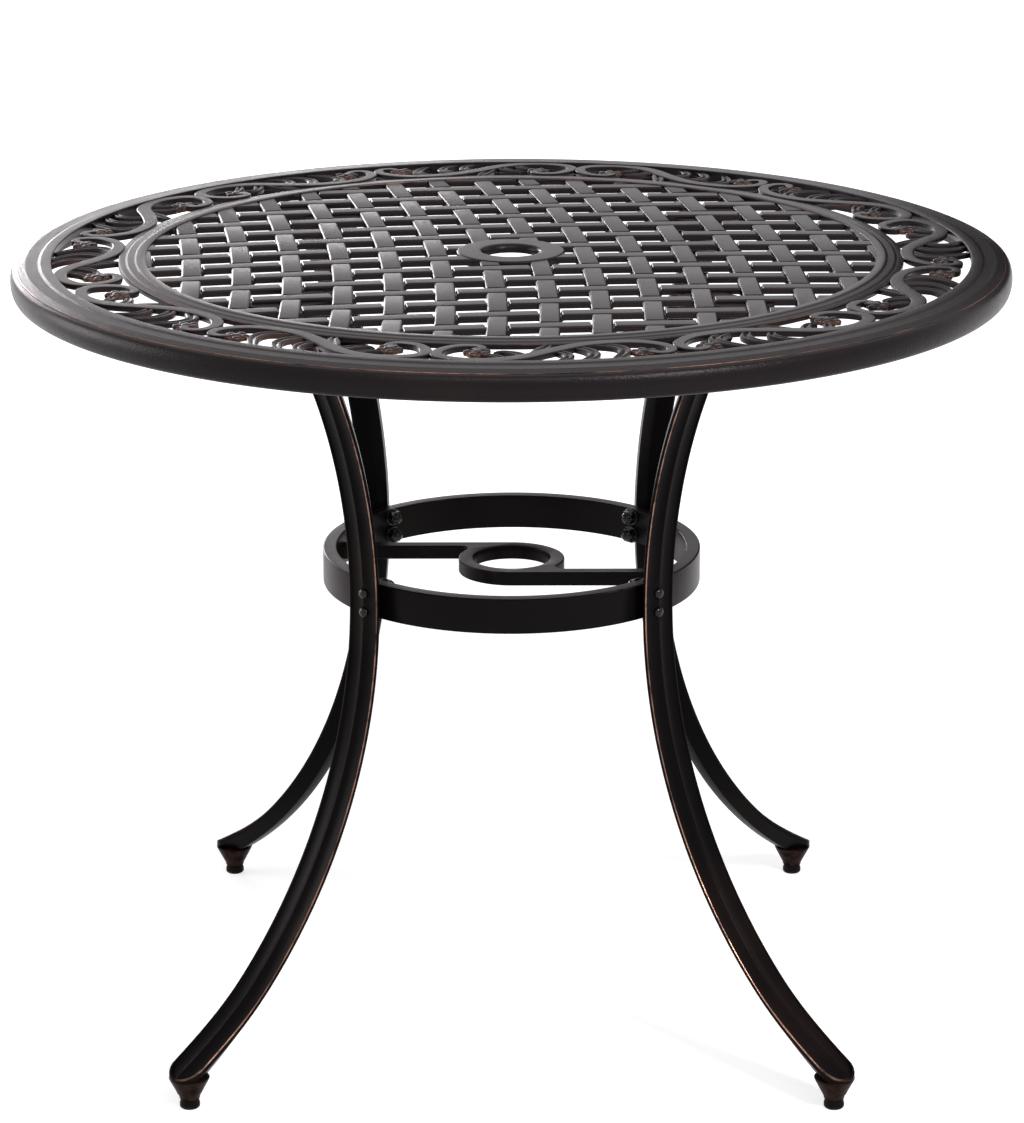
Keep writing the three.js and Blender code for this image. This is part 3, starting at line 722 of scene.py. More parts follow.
class Recipe:
    """Node tree of one finish, or of the world."""

    def __init__(self, owner: bpy.types.Material | bpy.types.World) -> None:
        """Starts with an empty node tree.

        Args:
            owner: The material or world that the tree belongs to.
        """
        self.owner = owner
        self.owner.use_nodes = True
        self.tree = self.owner.node_tree
        self.tree.nodes.clear()

    def node(
        self,
        kind: str,
        settings: Mapping[str, object] | None = None,
        inputs: Mapping[str | int, object] | None = None,
    ) -> bpy.types.Node:
        """Adds a node.

        Args:
            kind: The node's type.
            settings: Its settings, set first. "stops" holds the [place, colour] rows of a ramp.
            inputs: Values, colours or wires for its sockets, by name or number.

        Returns:
            The node.
        """
        node = self.tree.nodes.new(kind)
        for name, value in (settings or {}).items():
            if name == "stops":
                ramp = node.color_ramp
                while len(ramp.elements) < len(value):
                    ramp.elements.new(1.0)
                for element, (place, colour) in zip(ramp.elements, value):
                    element.position = place
                    element.color = (*colour, 1.0)
            else:
                setattr(node, name, value)
        for name, value in (inputs or {}).items():
            socket = node.inputs[name]
            if isinstance(value, Wire):
                self.tree.links.new(value.socket, socket)
            else:
                socket.default_value = value
        return node

    def wire(
        self,
        kind: str,
        settings: Mapping[str, object] | None = None,
        inputs: Mapping[str | int, object] | None = None,
        output: str | int = 0,
    ) -> Wire:
        """Adds a node and gives one of its outputs.

        Args:
            kind: The node's type.
            settings: Its settings.
            inputs: Values or wires for its sockets.
            output: Name or number of the output.

        Returns:
            The output as a wire.
        """
        return Wire(self, self.node(kind, settings, inputs).outputs[output])

    def place(self) -> Wire:
        """Object coordinates."""
        return self.wire("ShaderNodeTexCoord", output="Object")

    def height(self) -> Wire:
        """Height over the floor."""
        return self.wire("ShaderNodeSeparateXYZ", {}, {0: self.place()}, 2)

    def rub(self) -> Wire:
        """How much an edge is rubbed, as Wear marked it."""
        return self.wire("ShaderNodeAttribute", {"attribute_name": Wear.ATTRIBUTE}, {}, "Fac")

    def noise(self, grain: Grain) -> Wire:
        """Noise on Object coordinates.

        Args:
            grain: Its scale, layers and roughness.

        Returns:
            A value from 0 to 1.
        """
        inputs = {
            "Vector": self.place(),
            "Scale": grain.scale,
            "Detail": grain.detail,
            "Roughness": grain.roughness,
        }
        return self.wire("ShaderNodeTexNoise", {}, inputs, "Fac")

    def bump(self, strength: float, distance: float, height: Wire) -> Wire:
        """Turns a height into bumps of the surface.

        Args:
            strength: Strength of the bumps.
            distance: Depth of the relief in metres.
            height: The relief.

        Returns:
            The bent normal.
        """
        inputs = {"Strength": strength, "Distance": distance, "Height": height}
        return self.wire("ShaderNodeBump", {}, inputs)

    def plain(self, tone: float) -> Wire:
        """Dull grey surface."""
        return self.wire("ShaderNodeBsdfDiffuse", {}, {"Color": (tone, tone, tone, 1.0)})

    def fade(
        self, value: Wire, low: float, high: float, start: float = 0.0, end: float = 1.0
    ) -> Wire:
        """Maps a value smoothly to another range.

        Args:
            value: The value.
            low: Value that gives the start.
            high: Value that gives the end.
            start: Lowest result.
            end: Highest result.

        Returns:
            The mapped value.
        """
        inputs = {
            "Value": value,
            "From Min": low,
            "From Max": high,
            "To Min": start,
            "To Max": end,
        }
        return self.wire("ShaderNodeMapRange", {"interpolation_type": "SMOOTHSTEP"}, inputs)

    def blend(self, share: Wire, first: object, second: object) -> Wire:
        """Mixes two colours.

        Args:
            share: Share of the second colour.
            first: Colour or wire.
            second: Colour or wire.

        Returns:
            The mixed colour.
        """
        pair = [value if isinstance(value, Wire) else (*value, 1.0) for value in (first, second)]
        inputs = {0: share, 6: pair[0], 7: pair[1]}
        return self.wire("ShaderNodeMix", {"data_type": "RGBA"}, inputs, 2)

    def surface(self, **inputs: object) -> bpy.types.Material:
        """Ends the recipe with one surface shader.

        Args:
            **inputs: Values or wires for its sockets, spaces as underscores.

        Returns:
            The finished material.
        """
        named = {name.replace("_", " "): value for name, value in inputs.items()}
        shader = self.wire("ShaderNodeBsdfPrincipled", {}, named)
        self.node("ShaderNodeOutputMaterial", {}, {"Surface": shader})
        return self.owner


@dataclass(frozen=True)
class BronzeCoat:
    """Dark antique bronze coat on a sand casting, rubbed to copper on its edges."""

    name: str
    tone: Colour = (0.0105, 0.0082, 0.0092)
    warm: Colour = (0.034, 0.017, 0.013)
    copper: Colour = (0.36, 0.17, 0.115)
    rub: float = 0.8
    rub_from: float = 0.42
    roughness: float = 0.4
    pebble: float = 0.35
    metallic: float = 0.25
    ior: float = 1.2
    brown_below: float = 0.0

    PATCHES = Grain(11.0, 4.0, 0.62)
    SCUFFS = Grain(95.0)
    PEBBLES = Grain(620.0, 2.0, 0.55)
    CLOUD = Grain(4.5)
    RUB_RUN = 0.22
    EVEN_RUB = 0.35
    WORN = (0.4, 0.72)
    HALO = 0.35
    STAIN = (0.5, 0.75)
    STAIN_SHARE = 0.55
    BROWN_RUN = 3 * MM
    BROWN_PATCHES = (0.3, 0.6)
    DULL_PATCHES = (0.3, 0.75)
    DULL_SPREAD = (-0.02, 0.03)
    SCUFF_DEPTH = 0.6
    BARE_METAL = 0.95
    BARE_GLOSS = 0.1
    BUMP_DEPTH = 0.4 * MM
    SHEEN_TINT = (1.0, 0.93, 0.97, 1.0)

    def material(self) -> bpy.types.Material:
        """Builds the finish.

        Returns:
            The material.
        """
        recipe = Recipe(bpy.data.materials.new(self.name))
        edges = recipe.rub()
        patches = recipe.noise(self.PATCHES)
        scuffs = recipe.noise(self.SCUFFS)
        reach = recipe.fade(patches, self.rub_from, self.rub_from + self.RUB_RUN)
        uneven = edges * (self.EVEN_RUB + (1 - self.EVEN_RUB) * scuffs)
        worn = recipe.fade(uneven, *self.WORN) * reach * self.rub
        halo = recipe.fade(edges, 0.0, 1.0) * reach * (self.HALO * self.rub)
        stain = recipe.fade(recipe.noise(self.CLOUD), *self.STAIN, 0.0, self.STAIN_SHARE)
        stained = tuple((cold + warm) / 2 for cold, warm in zip(self.tone, self.warm))
        coat = recipe.blend(stain, self.tone, stained)
        coat = recipe.blend(halo, coat, self.warm)
        if self.brown_below:
            low = recipe.fade(recipe.height(), self.brown_below, self.brown_below - self.BROWN_RUN)
            coat = recipe.blend(low * recipe.fade(scuffs, *self.BROWN_PATCHES), coat, self.warm)
        glossy, matt = (self.roughness + step for step in self.DULL_SPREAD)
        dull = recipe.fade(patches, *self.DULL_PATCHES, glossy, matt)
        relief = recipe.noise(self.PEBBLES) + self.SCUFF_DEPTH * scuffs
        return recipe.surface(
            Base_Color=recipe.blend(worn, coat, self.copper),
            Metallic=self.metallic + worn * (self.BARE_METAL - self.metallic),
            Roughness=dull - worn * self.BARE_GLOSS,
            IOR=self.ior,
            Specular_Tint=self.SHEEN_TINT,
            Normal=recipe.bump(self.pebble, self.BUMP_DEPTH, relief),
        )


@dataclass(frozen=True)
class BlackenedSteel:
    """Semi-gloss black finish of the screws, washers and nuts."""

    name: str = "blackened_steel"
    tone: Colour = (0.006, 0.006, 0.007)
    bare: Colour = (0.09, 0.08, 0.075)
    roughness: float = 0.16
    metallic: float = 0.6

    SMEARS = Grain(160.0)
    GRAIN = Grain(900.0, 2.0, 0.5)
    WORN = (0.4, 0.7)
    WORN_SHARE = 0.25
    DULL_PATCHES = (0.3, 0.7)
    DULL_SPREAD = (-0.05, 0.1)
    BUMP = 0.12
    BUMP_DEPTH = 0.2 * MM

    def material(self) -> bpy.types.Material:
        """Builds the finish.

        Returns:
            The material.
        """
        recipe = Recipe(bpy.data.materials.new(self.name))
        smears = recipe.noise(self.SMEARS)
        worn = recipe.fade(recipe.rub() * smears, *self.WORN, 0.0, self.WORN_SHARE)
        glossy, matt = (self.roughness + step for step in self.DULL_SPREAD)
        return recipe.surface(
            Base_Color=recipe.blend(worn, self.tone, self.bare),
            Metallic=self.metallic,
            Roughness=recipe.fade(smears, *self.DULL_PATCHES, glossy, matt),
            Normal=recipe.bump(self.BUMP, self.BUMP_DEPTH, recipe.noise(self.GRAIN)),
        )


@dataclass(frozen=True)
class ZincPlate:
    """Dull zinc plating of the glides' studs."""

    name: str = "zinc_plate"
    tone: Colour = (0.42, 0.43, 0.44)
    dark: Colour = (0.3, 0.3, 0.29)
    metallic: float = 0.95

    SPANGLE = Grain(420.0)
    DARK_PATCHES = (0.35, 0.7)
    DULL_PATCHES = (0.3, 0.7)
    ROUGHNESS = (0.32, 0.48)
    BUMP = 0.1
    BUMP_DEPTH = 0.1 * MM

    def material(self) -> bpy.types.Material:
        """Builds the finish.

        Returns:
            The material.
        """
        recipe = Recipe(bpy.data.materials.new(self.name))
        spangle = recipe.noise(self.SPANGLE)
        return recipe.surface(
            Base_Color=recipe.blend(recipe.fade(spangle, *self.DARK_PATCHES), self.tone, self.dark),
            Metallic=self.metallic,
            Roughness=recipe.fade(spangle, *self.DULL_PATCHES, *self.ROUGHNESS),
            Normal=recipe.bump(self.BUMP, self.BUMP_DEPTH, spangle),
        )


@dataclass(frozen=True)
class BlackNylon:
    """Moulded black plastic of the glide pads, scuffed near the floor."""

    name: str = "black_nylon"
    tone: Colour = (0.004, 0.0034, 0.0032)
    dust: Colour = (0.16, 0.14, 0.125)
    ior: float = 1.14

    SCUFFS = Grain(240.0, 4.0, 0.65)
    DUST_PATCHES = (0.4, 0.7)
    DUST_HEIGHT = 4 * MM
    DUST_SHARE = 0.5
    DULL_PATCHES = (0.3, 0.7)
    ROUGHNESS = (0.42, 0.6)
    BUMP = 0.2
    BUMP_DEPTH = 0.2 * MM

    def material(self) -> bpy.types.Material:
        """Builds the finish.

        Returns:
            The material.
        """
        recipe = Recipe(bpy.data.materials.new(self.name))
        scuffs = recipe.noise(self.SCUFFS)
        low = recipe.fade(recipe.height(), self.DUST_HEIGHT, 0.0)
        dusty = recipe.fade(scuffs, *self.DUST_PATCHES) * low * self.DUST_SHARE
        return recipe.surface(
            Base_Color=recipe.blend(dusty, self.tone, self.dust),
            Roughness=recipe.fade(scuffs, *self.DULL_PATCHES, *self.ROUGHNESS),
            IOR=self.ior,
            Normal=recipe.bump(self.BUMP, self.BUMP_DEPTH, scuffs),
        )


class Finishes:
    """The finishes of the table, each made once."""

    def __init__(self) -> None:
        """Builds every material."""
        self.top = BronzeCoat("bronze_top", rub=0.05, rub_from=0.56, roughness=0.29).material()
        self.border = BronzeCoat(
            "bronze_border", rub=0.14, rub_from=0.5, roughness=0.29
        ).material()
        self.beads = BronzeCoat("bronze_beads", rub=0.3, rub_from=0.46, roughness=0.29).material()
        self.rosette = BronzeCoat(
            "bronze_rosette", rub=0.24, rub_from=0.3, roughness=0.3
        ).material()
        self.rim = BronzeCoat(
            "bronze_rim", rub=0.85, rub_from=0.34, pebble=0.75, roughness=0.3
        ).material()
        self.pad = BronzeCoat("bronze_underside", rub=0.0, roughness=0.5, ior=1.12).material()
        # Same coat as the top, its tone made darker as painted shade for the legs under the top.
        self.leg = BronzeCoat(
            "bronze_leg",
            tone=(0.0042, 0.0036, 0.004),
            copper=(0.3, 0.165, 0.12),
            rub=0.9,
            rub_from=0.3,
            roughness=0.3,
            metallic=0.1,
            ior=1.08,
            brown_below=30 * MM,
        ).material()
        # Same coat as the top, its tone made darker as painted shade for the hoop and brace under
        # the top.
        self.ring = BronzeCoat(
            "bronze_ring",
            tone=(0.006, 0.005, 0.0052),
            rub=0.5,
            rub_from=0.56,
            roughness=0.3,
            ior=1.12,
        ).material()
        self.steel = BlackenedSteel().material()
        self.zinc = ZincPlate().material()
        self.nylon = BlackNylon().material()


def dress(
    piece: bpy.types.Object,
    material: bpy.types.Material,
    nodes: Sequence[str],
    body: str = TABLE_BODY,
    touched: Callable[[Vector], float] | None = None,
) -> None:
    """Gives a piece its finish and its body, and hides the frame's nodes that it stands for.

    Args:
        piece: The finished piece.
        material: Its finish.
        nodes: The frame's nodes that it stands for.
        body: The body that it rides on.
        touched: Share of the edge wear that a place gets.
    """
    Wear.mark(piece, touched)
    piece.data.materials.clear()
    piece.data.materials.append(material)
    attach(piece, body)
    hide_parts(*nodes)
    LOG.info("%s: %d faces on %s", piece.name, len(piece.data.polygons), body)


def lay_in_top(
    piece: bpy.types.Object,
    name: str,
    material: bpy.types.Material,
    touched: Callable[[Vector], float] | None = None,
) -> None:
    """Lifts a piece of the top to its height, turns it with the pattern and dresses it.

    Args:
        piece: A piece modelled with the highest face of the top at 0.
        name: Its name.
        material: Its finish.
        touched: Share of the edge wear that a place gets.
    """
    place = Matrix.Translation((0, 0, TOP_HEIGHT)) @ Matrix.Rotation(PATTERN_TURN, 4, "Z")
    laid = Bench.copied(piece, name, place, keep=False)
    dress(laid, material, ["table_top"], touched=touched)


@dataclass
class TopRim:
    """Outer casting of the top: two flat bands that step down, a slope and a rounded apron."""

    radius: float = 451 * MM
    apron_radius: float = 445 * MM
    apron_depth: float = 27 * MM
    apron_wall: float = 6 * MM
    band_radius: float = 437 * MM
    step_radius: float = 423.6 * MM
    step_run: float = 2.2 * MM
    step_drop: float = 1.1 * MM
    slope_drop: float = 2.3 * MM
    arris_drop: float = 0.7 * MM
    inner_radius: float = 414 * MM
    thickness: float = 6 * MM
    edge: float = 0.8 * MM
    steps: int = 240
    bulge_steps: int = 12
    bulge_power: float = 0.8
    worn_width: float = 1.2 * MM
    worn_depth: float = 4 * MM

    # Rows of [out, up] from the corner that _profile names, in edge widths.
    INNER_EDGE = ((0.0, -1.6), (0.0, -1.0), (0.3, -0.3), (1.0, 0.0), (1.7, 0.0))
    STEP_TOP = ((-0.5, 0.0), (0.0, -0.1))
    STEP_FOOT = ((0.0, 0.1), (0.6, 0.0))
    BAND_EDGE = ((-1.0, 0.0), (0.0, -0.12), (1.0, -0.3))
    APRON_FOOT = ((-0.3, 0.0), (-2.0, 0.0))
    WALL_FOOT = ((0.5, 0.0), (0.0, 1.0))
    WALL_TOP = ((0.0, -3.0), (-3.0, 0.0))
    # The arris over the apron, in millimetres.
    ARRIS = ((-0.9, 0.0), (-0.25, -0.12), (0.0, -0.4))

    def build(self, finishes: Finishes) -> None:
        """Turns the rim.

        Args:
            finishes: The table's finishes.
        """
        rim = Bench.turned("table_rim", self._profile(), self.steps)
        lay_in_top(rim, "table_rim", finishes.rim, self._touched)

    def _touched(self, place: Vector) -> float:
        """Share of the wear: only the arris over the apron is rubbed."""
        is_outer = place.xy.length > self.apron_radius - self.worn_width
        return 1.0 if is_outer and place.z > TOP_HEIGHT - self.worn_depth else 0.0

    def _profile(self) -> list[Pair]:
        """Profile of the rim from its inner edge outwards and back underneath.

        Returns:
            [radius, height] pairs.
        """
        edge = self.edge
        bottom = -self.apron_depth
        arris = -self.step_drop - self.slope_drop
        shoulder = arris - self.arris_drop
        half = (shoulder - bottom) / 2
        bulge = self.radius - self.apron_radius
        wall = self.apron_radius - self.apron_wall
        arc = []
        for step in range(1, self.bulge_steps):
            angle = (0.5 - step / self.bulge_steps) * math.pi
            out = self.apron_radius + bulge * math.cos(angle) ** self.bulge_power
            arc.append((out, shoulder - half + half * math.sin(angle)))
        return [
            (self.inner_radius, -self.thickness),
            *offsets(self.inner_radius, 0.0, edge, self.INNER_EDGE),
            *offsets(self.step_radius, 0.0, edge, self.STEP_TOP),
            *offsets(self.step_radius + self.step_run, -self.step_drop, edge, self.STEP_FOOT),
            *offsets(self.band_radius, -self.step_drop, edge, self.BAND_EDGE),
            *offsets(self.apron_radius, arris, MM, self.ARRIS),
            (self.apron_radius, shoulder),
            *arc,
            *offsets(self.apron_radius, bottom, edge, self.APRON_FOOT),
            *offsets(wall, bottom, edge, self.WALL_FOOT),
            *offsets(wall, -self.thickness, edge, self.WALL_TOP),
        ]


@dataclass
class BeadRing:
    """Flat ring between the scrolls and the lattice, its three bands stepping down outwards."""

    inner_radius: float = 330 * MM
    outer_radius: float = 354 * MM
    depth: float = 6 * MM
    step_drop: float = 0.8 * MM
    step_run: float = 1.5 * MM
    edge: float = 1.0 * MM
    bands: int = 3
    steps: int = 200

    # Rows of [out, up] from each corner, in edge widths.
    INNER_EDGE = ((0.0, -1.8), (0.0, -1.0), (0.3, -0.3), (1.0, 0.0))
    STEP_TOP = ((-0.5, 0.0), (0.0, -0.08))
    STEP_FOOT = ((0.0, 0.08), (0.5, 0.0))
    OUTER_EDGE = ((-1.0, 0.0), (-0.3, -0.3), (0.0, -1.0), (0.0, -1.8))

    def build(self, finishes: Finishes) -> None:
        """Turns the ring.

        Args:
            finishes: The table's finishes.
        """
        ring = Bench.turned("beaded_ring", self._profile(), self.steps)
        lay_in_top(ring, "beaded_ring", finishes.beads)

    def _profile(self) -> list[Pair]:
        """Profile from the lattice outwards.

        Returns:
            [radius, height] pairs.
        """
        width = (self.outer_radius - self.inner_radius) / self.bands
        profile = [
            (self.inner_radius, -self.depth),
            *offsets(self.inner_radius, 0.0, self.edge, self.INNER_EDGE),
        ]
        level = 0.0
        for band in range(1, self.bands):
            end = self.inner_radius + band * width
            profile += offsets(end, level, self.edge, self.STEP_TOP)
            level = -band * self.step_drop
            profile += offsets(end + self.step_run, level, self.edge, self.STEP_FOOT)
        profile += offsets(self.outer_radius, level, self.edge, self.OUTER_EDGE)
        return [*profile, (self.outer_radius, -self.depth)]


@dataclass
class UmbrellaCollar:
    """Flat collar round the umbrella hole."""

    radius: float = 49 * MM
    depth: float = 8 * MM
    hole_radius: float = 25 * MM
    lip: float = 3 * MM
    edge: float = 1.7 * MM
    steps: int = 96

    # Rows of [out, up] from the hole in lip widths, and from the outer edge in edge widths.
    MOUTH = ((0.15, -0.8), (0.55, -0.28), (1.0, 0.0))
    OUTER_EDGE = ((-1.3, 0.0), (-1.0, -0.02), (-0.08, -0.6), (0.0, -0.75), (0.0, -1.3))

    def build(self, finishes: Finishes) -> None:
        """Turns the collar.

        Args:
            finishes: The table's finishes.
        """
        profile = [
            (self.hole_radius, -self.depth),
            (self.hole_radius, -self.lip - self.edge),
            *offsets(self.hole_radius, 0.0, self.lip, self.MOUTH),
            (self.hole_radius + self.lip + self.edge, 0.0),
            *offsets(self.radius, 0.0, self.edge, self.OUTER_EDGE),
            (self.radius, -self.depth),
        ]
        collar = Bench.turned("umbrella_collar", profile, self.steps)
        lay_in_top(collar, "umbrella_collar", finishes.top)


@dataclass
class WovenLattice:
    """Flat strap plates that pass over and under each other."""

    radius: float = 330 * MM
    root: float = 5 * MM
    bore_radius: float = 31 * MM
    straps_a_side: int = 7
    pitch: float = 44.385 * MM
    width: float = 17.754 * MM
    thickness: float = 6.1 * MM
    sink: float = 0.8 * MM
    dip: float = 2.4 * MM
    end_gap: float = 0.5 * MM
    end_run: float = 2.3 * MM
    edge: float = 1.7 * MM
    draft: float = 0.5 * MM
    bow_radius: float = 2630 * MM
    end_steps: int = 4
    rounds: int = 4
    trim_below: float = 20 * MM
    trim_above: float = 5 * MM
    trim_steps: int = 96

    def build(self, finishes: Finishes) -> None:
        """Models one plate, lays a copy at every crossing and joins them all.

        Args:
            finishes: The table's finishes.
        """
        plate = self._plate()
        plates = []
        count = range(-1, 2 * self.straps_a_side + 1)
        for upright, level in [(i, j) for i in count for j in count]:
            out = self._crossing(upright, level).length
            if out > self.radius + self.pitch:
                continue
            copy = Bench.copied(plate, "strap_plate", self._place(upright, level))
            if out + self.pitch > self.radius:
                copy = self._trimmed(copy, self.radius + self.root, "INTERSECT")
            elif out - self.pitch < self.bore_radius:
                copy = self._trimmed(copy, self.bore_radius, "DIFFERENCE")
            if copy:
                plates.append(copy)
        Bench.discard(plate)
        lay_in_top(Bench.joined("woven_lattice", plates), "woven_lattice", finishes.top)

    def _offset(self, index: float) -> float:
        """Distance of a strap from the middle."""
        return (index - self.straps_a_side + 0.5) * self.pitch

    def _bow(self, along: float) -> float:
        """How far a bowed strap falls back at a distance along it."""
        return self.bow_radius - math.sqrt(self.bow_radius**2 - along**2)

    def _crossing(self, upright: int, level: int) -> Vector:
        """Finds where two straps cross, each bowed by its distance along the other.

        Args:
            upright: Number of the strap along Y.
            level: Number of the strap along X.

        Returns:
            The flat place of the crossing.
        """
        straight = Vector((self._offset(upright), self._offset(level)))
        point = straight
        for _ in range(self.rounds):
            point = straight - Vector((self._bow(point.y), self._bow(point.x)))
        return point

    def _place(self, upright: int, level: int) -> Matrix:
        """Where the plate of a crossing lies: it reaches to the next crossing at either end.

        Args:
            upright: Number of the strap along Y.
            level: Number of the strap along X.

        Returns:
            The plate's place and turn.
        """
        across, along = (0, 1) if (upright + level) % 2 == 0 else (1, 0)
        start = self._crossing(upright - across, level - along)
        end = self._crossing(upright + across, level + along)
        run = end - start
        turn = Matrix.Rotation(math.atan2(-run.x, run.y), 4, "Z")
        return Matrix.Translation((*(start + end) / 2, 0)) @ turn

    def _plate(self) -> bpy.types.Object:
        """Models a flat plate along Y whose ends roll down and slip under the next straps.

        Returns:
            The plate.
        """
        flat = self.pitch - self.width / 2 - self.end_gap - self.end_run
        rows = [(0.0, -self.pitch, 1.0, self.sink + self.dip)]
        for step in range(self.end_steps, -1, -1):
            share = step / self.end_steps
            drop = self.sink + self.dip * (1 - math.sqrt(1 - share**2))
            rows.append((0.0, -flat - self.end_run * share, 1.0, drop))
        rows += [(x, -y, width, drop) for x, y, width, drop in reversed(rows)]
        section = rounded_bar(self.width, self.thickness, self.edge, self.draft)
        return Bench.swept("strap_plate", section, along_line(rows))

    def _trimmed(self, plate: bpy.types.Object, reach: float, how: str) -> bpy.types.Object | None:
        """Cuts a plate with a disc, or drops it if nothing is left.

        Args:
            plate: The plate in place.
            reach: Radius of the disc.
            how: INTERSECT keeps what lies inside the disc, DIFFERENCE what lies outside.

        Returns:
            The cut plate, or None.
        """
        profile = drum(reach, -self.trim_below, self.trim_above)
        Bench.combined(plate, Bench.turned("trimming_disc", profile, self.trim_steps), how)
        if len(plate.data.vertices) == 0:
            Bench.discard(plate)
            return None
        return Bench.tidy(plate)


@dataclass
class ScrollBorder:
    """Twelve mirrored S scrolls with fluted leaves between the beaded ring and the rim."""

    inner_radius: float = 354 * MM
    width: float = 60 * MM
    cells: int = 12
    turn: float = math.radians(15)
    ribbon_width: float = 13 * MM
    ribbon_depth: float = 5.2 * MM
    ribbon_sink: float = 0.6 * MM
    leaf_width: float = 9.5 * MM
    leaf_sink: float = 1.1 * MM
    leaf_depth: float = 4.6 * MM
    leaf_foot: float = 0.9
    tip_curl: float = 1.4 * MM
    eye_radius: float = 12 * MM
    boss_foot: float = 0.8
    boss_steps: int = 24
    petals: int = 5
    petal_share: float = 0.35
    petal_place: float = 0.65
    petal_foot: float = 0.9
    petal_steps: int = 14
    edge: float = 1.0 * MM
    smoothing: int = 4

    # Rows of [share along the cell, share across the border, width] along each line.
    RIBBON = (
        (0.165, 0.35, 0.55),
        (0.203, 0.25, 0.58),
        (0.178, 0.13, 0.62),
        (0.125, 0.12, 0.68),
        (0.075, 0.19, 0.72),
        (0.032, 0.4, 0.8),
        (0.026, 0.65, 0.84),
        (0.075, 0.83, 0.88),
        (0.18, 0.93, 0.92),
        (0.285, 0.875, 1.0),
        (0.374, 0.72, 1.06),
        (0.455, 0.48, 1.08),
        (0.545, 0.265, 1.04),
        (0.635, 0.115, 0.96),
        (0.75, 0.06, 0.9),
        (0.865, 0.115, 0.86),
        (0.94, 0.29, 0.82),
        (0.974, 0.49, 0.78),
        (0.97, 0.69, 0.7),
        (0.938, 0.81, 0.62),
        (0.9, 0.79, 0.58),
        (0.878, 0.68, 0.55),
    )
    LEAVES = (
        (
            (0.66, 0.09, 0.8), (0.77, 0.26, 1.25), (0.79, 0.5, 1.2),
            (0.75, 0.76, 0.95), (0.7, 0.98, 0.5),
        ),
        (
            (0.59, 0.18, 0.8), (0.645, 0.4, 1.2), (0.655, 0.64, 1.1),
            (0.615, 0.86, 0.85), (0.565, 1.0, 0.5),
        ),
        (
            (0.5, 0.37, 0.7), (0.545, 0.55, 1.05), (0.545, 0.76, 0.95),
            (0.505, 0.93, 0.7), (0.47, 1.02, 0.5),
        ),
        (
            (0.374, 0.72, 0.8), (0.36, 0.56, 1.1), (0.33, 0.44, 1.0),
            (0.285, 0.36, 0.7), (0.255, 0.4, 0.4),
        ),
        (
            (0.4, 0.62, 0.5), (0.425, 0.44, 1.1), (0.455, 0.25, 1.25),
            (0.48, 0.08, 0.95), (0.49, -0.03, 0.5),
        ),
        (
            (0.3, 0.82, 0.7), (0.27, 0.66, 0.95), (0.235, 0.56, 0.8),
            (0.2, 0.55, 0.4),
        ),
    )
    # Shares along and across of the two volutes' middles.
    EYES = ((0.185, 0.4), (0.86, 0.63))
    # Rows of [share of the radius, drop in millimetres].
    BOSS = ((0.84, 2.8), (0.42, 1.9), (0.36, 1.0), (0.24, 0.4), (0.0, 0.2))
    PETAL = ((1.0, 2.6), (0.92, 1.7), (0.68, 1.0), (0.36, 0.65), (0.0, 0.55))
    LEAF = ((0.0, 1.3), (0.22, 0.8), (0.42, 0.15), (0.62, 0.0), (0.82, 0.25), (1.0, 1.2))

    def build(self, finishes: Finishes) -> None:
        """Models one cell and its mirror image, and copies both round the border.

        Args:
            finishes: The table's finishes.
        """
        pitch = FULL_TURN / self.cells
        mirror = Matrix.Diagonal((1, -1, 1, 1))
        places = []
        for index in range(0, self.cells, 2):
            places.append(Matrix.Rotation(index * pitch, 4, "Z"))
            places.append(Matrix.Rotation(2 * self.turn + (index + 2) * pitch, 4, "Z") @ mirror)
        cell, rosettes = self._cell()
        for name, piece, finish in (
            ("scroll_border", cell, finishes.border),
            ("scroll_rosettes", rosettes, finishes.rosette),
        ):
            copies = [Bench.copied(piece, name, place) for place in places]
            Bench.discard(piece)
            lay_in_top(Bench.joined(name, copies), name, finish)

    def _point(self, along: float, across: float) -> Pair:
        """Finds a place in the first cell.

        Args:
            along: Share along the border.
            across: Share across the border, outwards.

        Returns:
            Its x and y.
        """
        angle = self.turn + along * FULL_TURN / self.cells
        radius = self.inner_radius + across * self.width
        return (radius * math.cos(angle), radius * math.sin(angle))

    def _rows(self, shares: Sequence[Sequence[float]]) -> list[tuple[float, ...]]:
        """Smooth rows of x, y and width through the shares."""
        rows = [(*self._point(along, across), width) for along, across, width in shares]
        return smooth_line(rows, self.smoothing)

    def _cell(self) -> tuple[bpy.types.Object, bpy.types.Object]:
        """Models one cell.

        Returns:
            The S scroll with its leaves, and its two rosettes.
        """
        section = rounded_bar(self.ribbon_width, self.ribbon_depth, self.edge, self.edge / 2)
        line = along_line(self._rows(self.RIBBON), -self.ribbon_sink)
        ribbon = Bench.swept("ribbon", section, line)
        eyes = [self._eye(*shares) for shares in self.EYES]
        leaves = [self._leaf(shares) for shares in self.LEAVES]
        return Bench.joined("scroll_cell", [ribbon, *leaves]), Bench.joined("rosettes", eyes)

